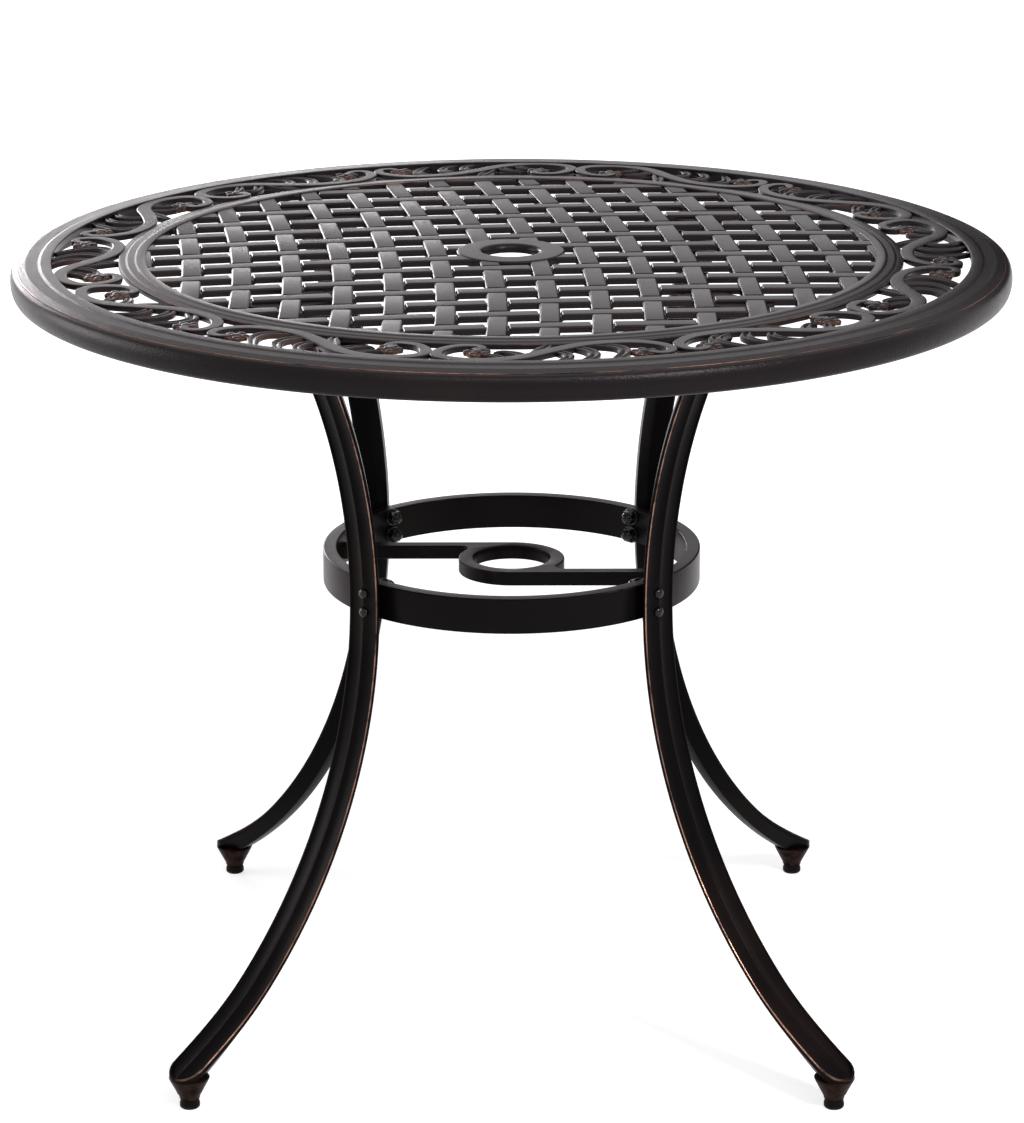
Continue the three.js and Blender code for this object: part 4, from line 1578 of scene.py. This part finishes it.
    def _eye(self, along: float, across: float) -> bpy.types.Object:
        """Models a rosette in the middle of a volute: a boss with a ring of round petals.

        Args:
            along: Share along the border.
            across: Share across the border.

        Returns:
            The rosette.
        """
        centre = Vector((*self._point(along, across), 0))
        bottom = -self.ribbon_depth
        radius = self.eye_radius
        boss = [(0.0, bottom), (radius * self.boss_foot, bottom), *dropped(radius, self.BOSS)]
        small = radius * self.petal_share
        round_top = [(0.0, bottom), (small * self.petal_foot, bottom), *dropped(small, self.PETAL)]
        out = centre + Vector((radius * self.petal_place, 0, 0))
        petal = Bench.turned("petal", round_top, self.petal_steps, out)
        pieces = [Bench.turned("rosette", boss, self.boss_steps, centre)]
        for index in range(self.petals):
            turn = Matrix.Rotation(index * FULL_TURN / self.petals, 4, "Z")
            place = Matrix.Translation(centre) @ turn @ Matrix.Translation(-centre)
            pieces.append(Bench.copied(petal, "petal", place, keep=index + 1 < self.petals))
        return Bench.joined("rosette", pieces)

    def _leaf(self, shares: Sequence[Sequence[float]]) -> bpy.types.Object:
        """Models a leaf with two ridges and a flute between them, its tip rolled under.

        Args:
            shares: Rows of the leaf's line.

        Returns:
            The leaf.
        """
        half = self.leaf_width / 2
        section = mirrored([*dropped(half, self.LEAF), (half * self.leaf_foot, -self.leaf_depth)])
        rows = self._rows(shares)
        last = len(rows) - 1
        curled = [(*row, self.tip_curl * (index / last) ** 3) for index, row in enumerate(rows)]
        return Bench.swept("leaf", section, along_line(curled, -self.leaf_sink))


@dataclass
class LegPads:
    """Bosses under the top that the legs are screwed to."""

    length: float = 84 * MM
    width: float = 44 * MM
    corner: float = 8 * MM
    top: float = TOP_HEIGHT - 4 * MM
    thickness: float = 9 * MM
    edge: float = 1.2 * MM

    def build(self, finishes: Finishes) -> None:
        """Makes one pad and copies it to the four corners.

        Args:
            finishes: The table's finishes.
        """
        outline = rounded_plate(FLANGE_PLACE, self.length, self.width, self.corner, self.top)
        pad = Bench.raised("leg_pad", outline, self.thickness, self.edge)
        for corner in Corner:
            copy = Bench.copied(pad, f"leg_pad_{corner.label}", corner.placing)
            dress(copy, finishes.pad, ["table_top"])
        Bench.discard(pad)


@dataclass
class Stretcher:
    """Hoop that ties the legs, with the S brace and the umbrella guide in it."""

    radius: float = 174 * MM
    wall: float = 13 * MM
    height: float = 32 * MM
    brace_drop: float = 13 * MM
    bar: float = 13 * MM
    guide_hole: float = 36 * MM
    fillet: float = 7 * MM
    edge: float = 1.1 * MM
    steps: int = 160
    hole_steps: int = 72
    guide_steps: int = 28
    fillet_steps: int = 8

    def build(self, finishes: Finishes) -> None:
        """Turns the hoop and cuts the brace.

        Args:
            finishes: The table's finishes.
        """
        hoop = Bench.turned("stretcher_hoop", self._hoop_profile(), self.steps)
        for piece in (hoop, self._brace()):
            dress(piece, finishes.ring, ["stretcher_ring"])

    def _hoop_profile(self) -> list[Pair]:
        """Upright flat bar with rounded edges, as a profile.

        Returns:
            [radius, height] pairs.
        """
        section = rounded_bar(self.wall, self.height, self.edge)
        top = HOOP_MIDDLE + self.height / 2
        return [(self.radius - self.wall / 2 + across, top + up) for across, up in section]

    def _brace(self) -> bpy.types.Object:
        """Cuts the S brace with fillets where its arms leave the guide.

        Returns:
            The brace.
        """
        top = HOOP_MIDDLE + self.height / 2 - self.brace_drop
        outer = self.guide_hole + self.bar
        reach = math.sqrt((self.radius - self.wall / 2) ** 2 - outer**2)
        half = [Vector((reach, -outer, top)), Vector((0, -outer, top))]
        rise = self.guide_hole - self.fillet
        centre = Vector((-math.sqrt((outer + self.fillet) ** 2 - rise**2), rise, top))
        touch = math.atan2(centre.y, -centre.x)
        for step in range(1, self.guide_steps + 1):
            angle = -math.pi / 2 - (math.pi / 2 + touch) * step / self.guide_steps
            half.append(Vector((outer * math.cos(angle), outer * math.sin(angle), top)))
        for step in range(1, self.fillet_steps + 1):
            angle = -touch + (math.pi / 2 + touch) * step / self.fillet_steps
            half.append(centre + Vector((math.cos(angle), math.sin(angle), 0)) * self.fillet)
        half.append(Vector((-reach, self.guide_hole, top)))
        outline = [*half, *[Vector((-point.x, -point.y, point.z)) for point in half]]
        brace = Bench.slab("stretcher_brace", outline, self.bar)
        profile = drum(self.guide_hole, top - 2 * self.bar, top + self.bar)
        hole = Bench.turned("guide_hole", profile, self.hole_steps)
        return Bench.bevelled(Bench.combined(brace, hole, "DIFFERENCE"), self.edge)


@dataclass
class Leg:
    """Curved leg with two channels and a ridge on its outer face, a flange and a foot cup."""

    back_radius: float = 174.1 * MM
    lower_radius: float = 461.9 * MM
    upper_radius: float = 510 * MM
    width: float = 36 * MM
    depth: float = 13 * MM
    ridge: float = 12.8 * MM
    lip: float = 2.2 * MM
    toe_radius: float = 18 * MM
    toe_inset: float = 0.3 * MM
    toe_rise: float = 5.4 * MM
    toe_rise_run: float = 75 * MM
    neck_radius: float = 9.2 * MM
    cup_bottom: float = 8.8 * MM
    cup_height: float = 20 * MM
    cup_steps: int = 64
    flange_top: float = 697.7 * MM
    flange_thickness: float = 6 * MM
    flange_length: float = 78 * MM
    flange_width: float = 38 * MM
    flange_corner: float = 7 * MM
    flange_edge: float = 0.9 * MM
    seat_radius: float = 30 * MM
    seat_depth: float = 1.1 * MM
    seat_margin: float = 1 * MM
    seat_steps: int = 144
    steps: int = 72
    trim_reach: float = 90 * MM
    lip_reach: float = 95 * MM
    toe_block: float = 150 * MM
    top_block: float = 200 * MM
    worn_top: float = 672 * MM
    worn_depth: float = 0.7 * MM
    worn_lip: float = 1 * MM
    worn_ridge: float = 6 * MM
    worn_margin: float = 0.3 * MM
    toe_wear: Pair = (0.8, 0.35)
    neck_wear: float = 0.3

    # Rows of [across, out] in millimetres from the point that _section or _cup names.
    BACK = ((6.3, 0.0), (6.9, 0.15), (7.4, 0.6))
    FLANK = ((-0.9, 8.7), (-0.3, 9.3), (0.0, 10.1))
    LIP = ((0.0, -1.3), (-0.25, -0.4), (-0.9, 0.0))
    CHANNEL = ((0.3, -0.05), (-0.1, -0.6), (-0.6, -1.6), (-1.4, -1.9))
    RIDGE = ((6.0, -1.5), (3.0, -0.95), (1.1, -0.35), (0.4, 0.0))
    CUP_NECK = ((-0.7, 0.0), (0.0, 0.7), (0.0, 1.8), (0.5, 3.0))
    CUP_TOP = ((-1.6, -4.2), (-0.3, -1.4), (0.0, -0.6), (-0.5, 0.0))

    def build(self, finishes: Finishes) -> None:
        """Models one leg and copies it to the four corners.

        Args:
            finishes: The table's finishes.
        """
        leg = self._leg()
        for corner in Corner:
            copy = Bench.copied(leg, f"curved_leg_{corner.label}", corner.placing)
            nodes = [f"leg_{corner.label}"]
            dress(copy, finishes.leg, nodes, touched=self._touched(corner))
        Bench.discard(leg)

    def _touched(self, corner: Corner) -> Callable[[Vector], float]:
        """Finds where the leg is rubbed: round the toe and on the lip that faces the sitter.

        Args:
            corner: The leg's corner.

        Returns:
            A function that gives the share of the wear at a place.
        """
        back = Matrix.Rotation(-corner.turn, 4, "Z")
        side = 1 if corner in (Corner.FRONT_LEFT, Corner.REAR_LEFT) else -1

        def share(place: Vector) -> float:
            """Gives the share of the wear at a place.

            Args:
                place: The place on the leg.

            Returns:
                A share from 0 to 1.
            """
            local = back @ place
            across = side * local.y
            is_face = self._outward(local) > self.depth + self._rise(local.z) - self.worn_depth
            if not is_face or local.z > self.worn_top:
                return 0.0
            out = math.hypot(local.x - FOOT_PLACE, local.y)
            if local.x > FOOT_PLACE and out > self.toe_radius - self.lip - self.worn_margin:
                return self.toe_wear[0] if across > 0 else self.toe_wear[1]
            if across > self.width / 2 - self.worn_lip:
                return 1.0
            return self.neck_wear if abs(local.y) < self.worn_ridge else 0.0

        return share

    def _outward(self, local: Vector) -> float:
        """Distance of a place in the leg's own plane from the line of its back."""
        radius = self.lower_radius if local.z < HOOP_MIDDLE else self.upper_radius
        return radius - math.hypot(local.x - self.back_radius - radius, local.z - HOOP_MIDDLE)

    def _rise(self, height: float) -> float:
        """Extra depth of the leg near its toe."""
        near = min(1.0, max(0.0, 1 - (height - self.cup_bottom) / self.toe_rise_run))
        return self.toe_rise * near * near * (3 - 2 * near)

    def _stations(self) -> list[Station]:
        """Follows the leg's back, from past the toe to above the flange, deeper at the toe.

        Returns:
            The stations of the line.
        """
        past = FOOT_PLACE + self.toe_radius + self.depth - self.back_radius
        low = -math.acos(1 - past / self.lower_radius) * self.lower_radius
        rise = self.flange_top + self.depth - HOOP_MIDDLE
        high = math.asin(rise / self.upper_radius) * self.upper_radius
        stations = []
        for step in range(self.steps + 1):
            run = low + (high - low) * step / self.steps
            radius = self.lower_radius if run < 0 else self.upper_radius
            angle = run / radius
            x = self.back_radius + radius * (1 - math.cos(angle))
            z = HOOP_MIDDLE + radius * math.sin(angle)
            stations.append(Station(Vector((x, 0, z)), angle, 1.0, 1 + self._rise(z) / self.depth))
        return stations

    def _section(self, has_channels: bool) -> list[Pair]:
        """Section of the leg with rounded lips, from the back to the ridge.

        Args:
            has_channels: False leaves the outer face flat.

        Returns:
            [across, out] pairs.
        """
        half = self.width / 2
        right = [
            *offsets(0.0, 0.0, MM, self.BACK),
            *offsets(half, 0.0, MM, self.FLANK),
            *offsets(half, self.depth, MM, self.LIP),
        ]
        if has_channels:
            right += offsets(half - self.lip, self.depth, MM, self.CHANNEL)
            right += offsets(0.0, self.ridge, MM, self.RIDGE)
        return mirrored(right)

    def _past_toe(self, profile: Sequence[Pair]) -> bpy.types.Object:
        """Makes what lies outside a turned shape, on the far side of the foot's axis.

        Args:
            profile: Profile of the turned shape.

        Returns:
            The block with the shape cut out of it.
        """
        place = (FOOT_PLACE + self.toe_block / 2, 0, 0)
        beyond = Bench.block("beyond_toe", self.toe_block, place)
        inside = Bench.turned("toe_shape", profile, self.cup_steps, Vector((FOOT_PLACE, 0, 0)))
        return Bench.combined(beyond, inside, "DIFFERENCE")

    def _toe_profile(self) -> list[Pair]:
        """Inside of the cup's wall, carried straight up above it.

        Returns:
            [radius, height] pairs.
        """
        reach = self.trim_reach
        neck = self.neck_radius - self.toe_inset
        toe = self.toe_radius - self.toe_inset
        top = self.cup_bottom + self.cup_height
        outside = [(neck, -reach), (neck, self.cup_bottom), (toe, top), (toe, reach)]
        return [(0.0, -reach), *outside, (0.0, reach)]

    def _leg(self) -> bpy.types.Object:
        """Models the leg in its own upright plane, reaching out along +X.

        Returns:
            The leg.
        """
        stations = self._stations()
        bar = Bench.swept("leg_bar", self._section(has_channels=True), stations, Axis.LEVEL)
        full = Bench.swept("leg_lip", self._section(has_channels=False), stations, Axis.LEVEL)
        within = drum(self.toe_radius - self.lip, -self.lip_reach, self.lip_reach)
        lip = Bench.combined(full, self._past_toe(within), "INTERSECT")
        bar = Bench.combined(bar, lip, "UNION")
        bar = Bench.combined(bar, self._past_toe(self._toe_profile()), "DIFFERENCE")
        bar = Bench.combined(bar, self._above(), "DIFFERENCE")
        for side in (-1, 1):
            seat = self._seat(HOOP_MIDDLE + side * SCREW_SPACING / 2)
            bar = Bench.combined(bar, seat, "DIFFERENCE")
        bar = Bench.combined(bar, self._cup(), "UNION")
        outline = rounded_plate(
            FLANGE_PLACE,
            self.flange_length,
            self.flange_width,
            self.flange_corner,
            self.flange_top,
        )
        flange = Bench.raised("leg_flange", outline, self.flange_thickness, self.flange_edge)
        return Bench.tidy(Bench.combined(bar, flange, "UNION"))

    def _above(self) -> bpy.types.Object:
        """Block that trims the leg level inside its flange."""
        level = self.flange_top - self.flange_thickness / 2
        return Bench.block("above", self.top_block, (FLANGE_PLACE, 0, level + self.top_block / 2))

    def _seat(self, height: float) -> bpy.types.Object:
        """Makes a wide roller that cuts a pointed seat across the ridge under a screw's head.

        Args:
            height: Height of the screw.

        Returns:
            The roller.
        """
        place = (self.back_radius + self.ridge - self.seat_depth + self.seat_radius, 0, height)
        length = self.width - 2 * self.lip - 2 * self.seat_margin
        return Bench.prism("seat", self.seat_steps, self.seat_radius, length, place, math.pi / 2)

    def _cup(self) -> bpy.types.Object:
        """Turns the tapered cup with a neck and a soft edge round its top.

        Returns:
            The cup.
        """
        top = self.cup_bottom + self.cup_height
        profile = [
            (0.0, self.cup_bottom),
            *offsets(self.neck_radius, self.cup_bottom, MM, self.CUP_NECK),
            *offsets(self.toe_radius, top, MM, self.CUP_TOP),
            (0.0, top),
        ]
        return Bench.turned("foot_cup", profile, self.cup_steps, Vector((FOOT_PLACE, 0, 0)))


@dataclass
class Fasteners:
    """Screws, washers and domed nuts of the hoop, and the screws of the flanges."""

    head_seat: float = 185.9 * MM
    head_radius: float = 5.3 * MM
    head_height: float = 3.7 * MM
    head_rim: float = 0.3 * MM
    shank_radius: float = 3 * MM
    shank_past_nut: float = 5 * MM
    washer_seat: float = 160.7 * MM
    washer_radius: float = 8.4 * MM
    washer_thickness: float = 1.5 * MM
    washer_edge: float = 0.35 * MM
    washer_play: float = 0.4 * MM
    nut_radius: float = 6.4 * MM
    nut_height: float = 5.4 * MM
    nut_chamfer: float = 0.9 * MM
    dome_radius: float = 5.4 * MM
    dome_sink: float = 0.8 * MM
    flange_bottom: float = 691.7 * MM
    flange_spacing: float = 56 * MM
    flange_shank: float = 12 * MM
    collar_radius: float = 6.8 * MM
    collar_height: float = 1.4 * MM
    hex_radius: float = 5.6 * MM
    hex_height: float = 4 * MM
    hex_overlap: float = 0.5 * MM
    hex_edge: float = 0.35 * MM
    dome_steps: int = 6
    screw_steps: int = 28
    washer_steps: int = 36
    collar_steps: int = 32

    # Rows of [out, up] in millimetres from the collar's lower and upper edge.
    COLLAR_LOW = ((-0.3, 0.0), (0.0, 0.3))
    COLLAR_HIGH = ((0.0, -0.2), (-0.2, 0.0))
    # The blank of the nut and the cone that takes off its corners, in nut radii.
    BLANK = 1.08
    CHAMFER = (1.2, 0.9)

    def build(self, finishes: Finishes) -> None:
        """Models one fastener of each kind and copies it to every place.

        Args:
            finishes: The table's finishes.
        """
        kinds = {
            "ring_bolt": self._screw(),
            "ring_washer": self._washer(),
            "ring_cap_nut": self._nut(),
        }
        for corner in Corner:
            for row, side in (("lower", -1), ("upper", 1)):
                lift = Matrix.Translation((0, 0, HOOP_MIDDLE + side * SCREW_SPACING / 2))
                place = corner.placing @ lift
                for kind, piece in kinds.items():
                    self._fit(piece, f"{kind}_{corner.label}_{row}", place, finishes)
        top_screw = self._top_screw()
        for corner in Corner:
            for row, side in (("inner", -1), ("outer", 1)):
                out = Matrix.Translation((FLANGE_PLACE + side * self.flange_spacing / 2, 0, 0))
                node = f"top_bolt_{corner.label}_{row}"
                self._fit(top_screw, node, corner.placing @ out, finishes)
        Bench.discard(*kinds.values(), top_screw)

    @staticmethod
    def _fit(piece: bpy.types.Object, node: str, place: Matrix, finishes: Finishes) -> None:
        """Copies a fastener to its place and dresses it."""
        copy = Bench.copied(piece, f"black_{node}", place)
        dress(copy, finishes.steel, [node])

    @staticmethod
    def _level(piece: bpy.types.Object, place: float, inward: bool) -> bpy.types.Object:
        """Lays a turned piece along X at a distance from the middle."""
        turn = Matrix.Rotation(-math.pi / 2 if inward else math.pi / 2, 4, "Y")
        return Bench.copied(piece, piece.name, Matrix.Translation((place, 0, 0)) @ turn, keep=False)

    def _dome(self, radius: float, height: float, base: float) -> list[Pair]:
        """Profile of a dome from its edge to its crown.

        Args:
            radius: Radius of its edge.
            height: Height of its crown over its edge.
            base: Height of its edge.

        Returns:
            [radius, height] pairs.
        """
        profile = []
        for step in range(self.dome_steps):
            angle = step / self.dome_steps * math.pi / 2
            profile.append((radius * math.cos(angle), base + height * math.sin(angle)))
        return [*profile, (0.0, base + height)]

    def _screw(self) -> bpy.types.Object:
        """Turns a screw with a domed head, its shank running in through the hoop.

        Returns:
            The screw.
        """
        length = self.head_seat - self.washer_seat + self.washer_thickness + self.shank_past_nut
        profile = [
            (0.0, -length),
            (self.shank_radius, -length),
            (self.shank_radius, 0.0),
            (self.head_radius - self.head_rim, 0.0),
            *self._dome(self.head_radius, self.head_height, self.head_rim),
        ]
        return self._level(Bench.turned("screw", profile, self.screw_steps), self.head_seat, False)

    def _washer(self) -> bpy.types.Object:
        """Turns a flat round washer with soft edges.

        Returns:
            The washer.
        """
        soft = self.washer_edge
        bore = self.shank_radius + self.washer_play
        profile = [
            (bore, 0.0),
            (self.washer_radius - soft, 0.0),
            (self.washer_radius, soft),
            (self.washer_radius, self.washer_thickness - soft),
            (self.washer_radius - soft, self.washer_thickness),
            (bore, self.washer_thickness),
        ]
        washer = Bench.turned("washer", profile, self.washer_steps)
        return self._level(washer, self.washer_seat, True)

    def _nut(self) -> bpy.types.Object:
        """Models a domed nut: a hexagon with chamfered corners and a dome.

        Returns:
            The nut.
        """
        radius, height = self.nut_radius, self.nut_height
        nut = Bench.prism("nut", 6, radius * self.BLANK, height, (0, 0, height / 2))
        wide, narrow = (radius * share for share in self.CHAMFER)
        chamfer = [
            (0.0, -MM),
            (wide, -MM),
            (wide, height - self.nut_chamfer),
            (narrow, height),
            (0.0, height + 0.2 * MM),
        ]
        nut = Bench.combined(nut, Bench.turned("chamfer", chamfer, self.washer_steps), "INTERSECT")
        crown = self._dome(self.dome_radius, self.dome_radius, height - self.dome_sink)
        dome = Bench.turned("dome", [(0.0, MM), (self.dome_radius, MM), *crown], self.screw_steps)
        nut = Bench.tidy(Bench.combined(nut, dome, "UNION"))
        return self._level(nut, self.washer_seat - self.washer_thickness, True)

    def _top_screw(self) -> bpy.types.Object:
        """Models a flanged hexagon screw, head down, with its shank up in the flange.

        Returns:
            The screw.
        """
        seat = self.flange_bottom
        collar = seat - self.collar_height
        profile = [
            (0.0, collar),
            *offsets(self.collar_radius, collar, MM, self.COLLAR_LOW),
            *offsets(self.collar_radius, seat, MM, self.COLLAR_HIGH),
            (self.shank_radius, seat),
            (self.shank_radius, seat + self.flange_shank),
            (0.0, seat + self.flange_shank),
        ]
        screw = Bench.turned("top_screw", profile, self.collar_steps)
        middle = collar - self.hex_height / 2 + self.hex_overlap / 2
        length = self.hex_height + self.hex_overlap
        head = Bench.prism("top_screw_head", 6, self.hex_radius, length, (0, 0, middle))
        return Bench.tidy(Bench.combined(screw, Bench.bevelled(head, self.hex_edge), "UNION"))


@dataclass
class Glides:
    """Levelling glides: a plastic pad on a threaded stud in each foot."""

    pad_radius: float = 9 * MM
    sole_radius: float = 7.6 * MM
    socket_bottom: float = 3.1 * MM
    socket_play: float = 0.2 * MM
    stud_radius: float = 4 * MM
    stud_bottom: float = 3.3 * MM
    stud_length: float = 21 * MM
    thread_pitch: float = 1.25 * MM
    thread_depth: float = 0.6 * MM
    pad_steps: int = 48
    stud_steps: int = 24

    # Rows of [out from the pad's radius, height] up its side, in millimetres.
    PAD_SIDE = (
        (-0.5, 0.8),
        (0.0, 1.6),
        (0.0, 4.6),
        (-0.3, 5.6),
        (-0.7, 6.4),
        (-0.6, 7.2),
        (-0.6, 8.2),
        (-0.9, 8.5),
    )

    def build(self, finishes: Finishes) -> None:
        """Models one pad and one stud and copies them to the four feet.

        Args:
            finishes: The table's finishes.
        """
        middle = Vector((FOOT_PLACE, 0, 0))
        pad = Bench.turned("pad", self._pad_profile(), self.pad_steps, middle)
        stud = Bench.turned("stud", self._stud_profile(), self.stud_steps, middle)
        kinds = (
            (pad, "nylon_pad", finishes.nylon, Slot.PAD, "glide_pad"),
            (stud, "zinc_stud", finishes.zinc, Slot.STUD, "glide_stud"),
        )
        for corner in Corner:
            body = f"glide_{corner.label}"
            for piece, name, finish, slot, node in kinds:
                copy = Bench.copied(piece, f"{name}_{corner.label}", corner.placing)
                dress(copy, finish, [f"{node}_{corner.label}"], body)
        Bench.discard(pad, stud)

    def _pad_profile(self) -> list[Pair]:
        """Pad with a bevelled sole, a slight waist and a socket for the stud.

        Returns:
            [radius, height] pairs.
        """
        bore = self.stud_radius + self.socket_play
        side = offsets(self.pad_radius, 0.0, MM, self.PAD_SIDE)
        socket = [(bore, side[-1][1]), (bore, self.socket_bottom), (0.0, self.socket_bottom)]
        return [(0.0, 0.0), (self.sole_radius, 0.0), *side, *socket]

    def _stud_profile(self) -> list[Pair]:
        """Stud with the crests and roots of its thread as rings.

        Returns:
            [radius, height] pairs.
        """
        root = self.stud_radius - self.thread_depth
        profile = [(0.0, self.stud_bottom)]
        turns = int(self.stud_length / self.thread_pitch)
        for index in range(turns):
            height = self.stud_bottom + index * self.thread_pitch
            profile += [(root, height), (self.stud_radius, height + self.thread_pitch / 2)]
        top = self.stud_bottom + turns * self.thread_pitch
        return [*profile, (root, top), (0.0, top)]


@dataclass(frozen=True)
class Softbox:
    """Lamp with a flat face: where it hangs, what it points at, its width and height, its watts."""

    name: str
    place: tuple[float, float, float]
    aim: tuple[float, float, float]
    size: Pair
    watts: float

    def hang(self) -> None:
        """Makes the lamp and turns it to its aim."""
        data = bpy.data.lights.new(self.name, "AREA")
        data.shape = "RECTANGLE"
        data.size, data.size_y = self.size
        data.energy = self.watts
        lamp = bpy.data.objects.new(self.name, data)
        lamp.location = self.place
        run = Vector(self.aim) - Vector(self.place)
        lamp.rotation_euler = run.to_track_quat("-Z", "Y").to_euler()
        bpy.context.scene.collection.objects.link(lamp)


@dataclass
class Studio:
    """Camera, floor, world and lamps."""

    eye_distance: float = 3.507
    eye_side: float = 0.012
    eye_height: float = 1.479
    pitch: float = 0.266
    swing: float = 0.0099
    roll: float = 0.004
    focal_pixels: float = 3961.0
    middle_x: float = 486.5
    middle_y: float = 450.0
    sensor: float = 36.0
    sight: float = 50.0
    ambient: float = 0.3
    floor_size: float = 30.0
    floor_tone: float = 0.62
    floor_glow: float = 0.62
    near_floor: float = 0.9
    far_floor: float = 2.2
    card_from: float = 0.8
    card_width: float = 3.0
    card_height: float = 2.2
    card_middle: float = 1.65
    card_distance: float = 4.0
    card_tone: float = 0.01

    LAMPS = (
        Softbox("lamp_overhead", (0.1, 0.3, 2.7), (0.0, 0.0, 0.6), (2.4, 2.0), 14.0),
        Softbox("lamp_far_left", (-2.35, 5.0, 1.4), (0.0, 0.0, 0.7), (1.7, 1.1), 90.0),
        Softbox("lamp_rear_left", (-0.75, 5.2, 0.72), (0.0, 0.0, 0.7), (1.2, 0.6), 14.0),
        Softbox("lamp_left", (-2.4, 0.35, 0.95), (0.0, 0.0, 0.7), (1.4, 0.9), 26.0),
        Softbox("lamp_front_right", (1.5, -1.9, 2.2), (0.16, -0.42, 0.7), (0.6, 0.6), 56.0),
        Softbox("lamp_front", (0.0, -2.0, 2.3), (0.0, -0.4, 0.7), (1.6, 0.8), 17.0),
    )

    def build(self) -> None:
        """Sets up the whole studio."""
        self._camera()
        self._floor()
        self._world()
        self._dark_card()
        for lamp in self.LAMPS:
            lamp.hang()

    @staticmethod
    def _board(name: str, size: float) -> bpy.types.Object:
        """Adds a plain level plane.

        Args:
            name: Name of the plane.
            size: Length of its sides.

        Returns:
            The plane.
        """
        bpy.ops.object.select_all(action="DESELECT")
        bpy.ops.mesh.primitive_plane_add(size=size, location=(0, 0, 0))
        board = bpy.context.object
        board.name = name
        return board

    @staticmethod
    def _painted(board: bpy.types.Object, recipe: Recipe, surface: Wire) -> None:
        """Paints a stage piece.

        Args:
            board: The stage piece.
            recipe: The recipe of its paint.
            surface: The recipe's last shader.
        """
        recipe.node("ShaderNodeOutputMaterial", {}, {"Surface": surface})
        board.data.materials.append(recipe.owner)

    def _dark_card(self) -> None:
        """Dark card behind on the right, above the picture, that darkens the edges facing it."""
        card = self._board("dark_card", 1.0)
        bpy.ops.transform.resize(value=(self.card_width, self.card_height, 1.0))
        card.rotation_euler = (math.pi / 2, 0, 0)
        card.location = (self.card_from + self.card_width / 2, self.card_distance, self.card_middle)
        recipe = Recipe(bpy.data.materials.new("dark_felt"))
        self._painted(card, recipe, recipe.plain(self.card_tone))

    def _camera(self) -> None:
        """Camera at the photograph's viewing angle."""
        data = bpy.data.cameras.new("camera")
        camera = bpy.data.objects.new("camera", data)
        bpy.context.scene.collection.objects.link(camera)
        bpy.context.scene.camera = camera
        data.sensor_width = self.sensor
        data.lens = self.focal_pixels / PICTURE_HEIGHT * self.sensor
        data.shift_x = (PICTURE_WIDTH / 2 - self.middle_x) / PICTURE_HEIGHT
        data.shift_y = (self.middle_y - PICTURE_HEIGHT / 2) / PICTURE_HEIGHT
        data.clip_end = self.sight
        turn = Matrix.Rotation(self.swing, 4, "Z")
        tilt = Matrix.Rotation(math.pi / 2 - self.pitch, 4, "X")
        lean = Matrix.Rotation(-self.roll, 4, "Z")
        place = Matrix.Translation((self.eye_side, -self.eye_distance, self.eye_height))
        camera.matrix_world = place @ turn @ tilt @ lean

    def _floor(self) -> None:
        """Plain pale floor that keeps the table's shadow and fades to white away from it."""
        floor = self._board("floor", self.floor_size)
        recipe = Recipe(bpy.data.materials.new("pale_floor"))
        paint = recipe.plain(self.floor_tone)
        length = {"operation": "LENGTH"}
        flat = recipe.wire("ShaderNodeVectorMath", length, {0: recipe.place()}, "Value")
        far = recipe.fade(flat, self.near_floor, self.far_floor)
        glow = self._seen(recipe) * (self.floor_glow + (1.0 - self.floor_glow) * far)
        lit = recipe.wire("ShaderNodeEmission", {}, {"Color": WHITE, "Strength": glow})
        both = recipe.wire("ShaderNodeAddShader", {}, {0: paint, 1: lit})
        self._painted(floor, recipe, both)

    @staticmethod
    def _seen(recipe: Recipe) -> Wire:
        """Tells the rays that see the background from those that only light the table.

        Args:
            recipe: The recipe to work in.

        Returns:
            1 for rays from the camera, a reflection or a see-through surface, else 0.
        """
        path = recipe.node("ShaderNodeLightPath")
        kinds = ("Camera", "Glossy", "Transmission")
        rays = [Wire(recipe, path.outputs[f"Is {kind} Ray"]) for kind in kinds]
        total = rays[0] + rays[1] + rays[2]
        return recipe.wire("ShaderNodeMath", {"operation": "MINIMUM"}, {0: total, 1: 1.0})

    def _world(self) -> None:
        """White world to look at, and a plain soft level of light."""
        world = bpy.data.worlds.new("studio")
        bpy.context.scene.world = world
        recipe = Recipe(world)
        strength = self._seen(recipe) * (1.0 - self.ambient) + self.ambient
        back = recipe.wire("ShaderNodeBackground", {}, {"Color": WHITE, "Strength": strength})
        recipe.node("ShaderNodeOutputWorld", {}, {"Surface": back})


def main() -> None:
    """Builds the table's pieces in order, then the studio."""
    logging.basicConfig(level=logging.INFO, format="%(name)s: %(message)s")
    bpy.context.scene.view_settings.view_transform = "Standard"
    finishes = Finishes()
    for part in (
        TopRim(),
        BeadRing(),
        UmbrellaCollar(),
        WovenLattice(),
        ScrollBorder(),
        LegPads(),
        Stretcher(),
        Leg(),
        Fasteners(),
        Glides(),
    ):
        part.build(finishes)
    Studio().build()


if __name__ == "__main__":
    main()
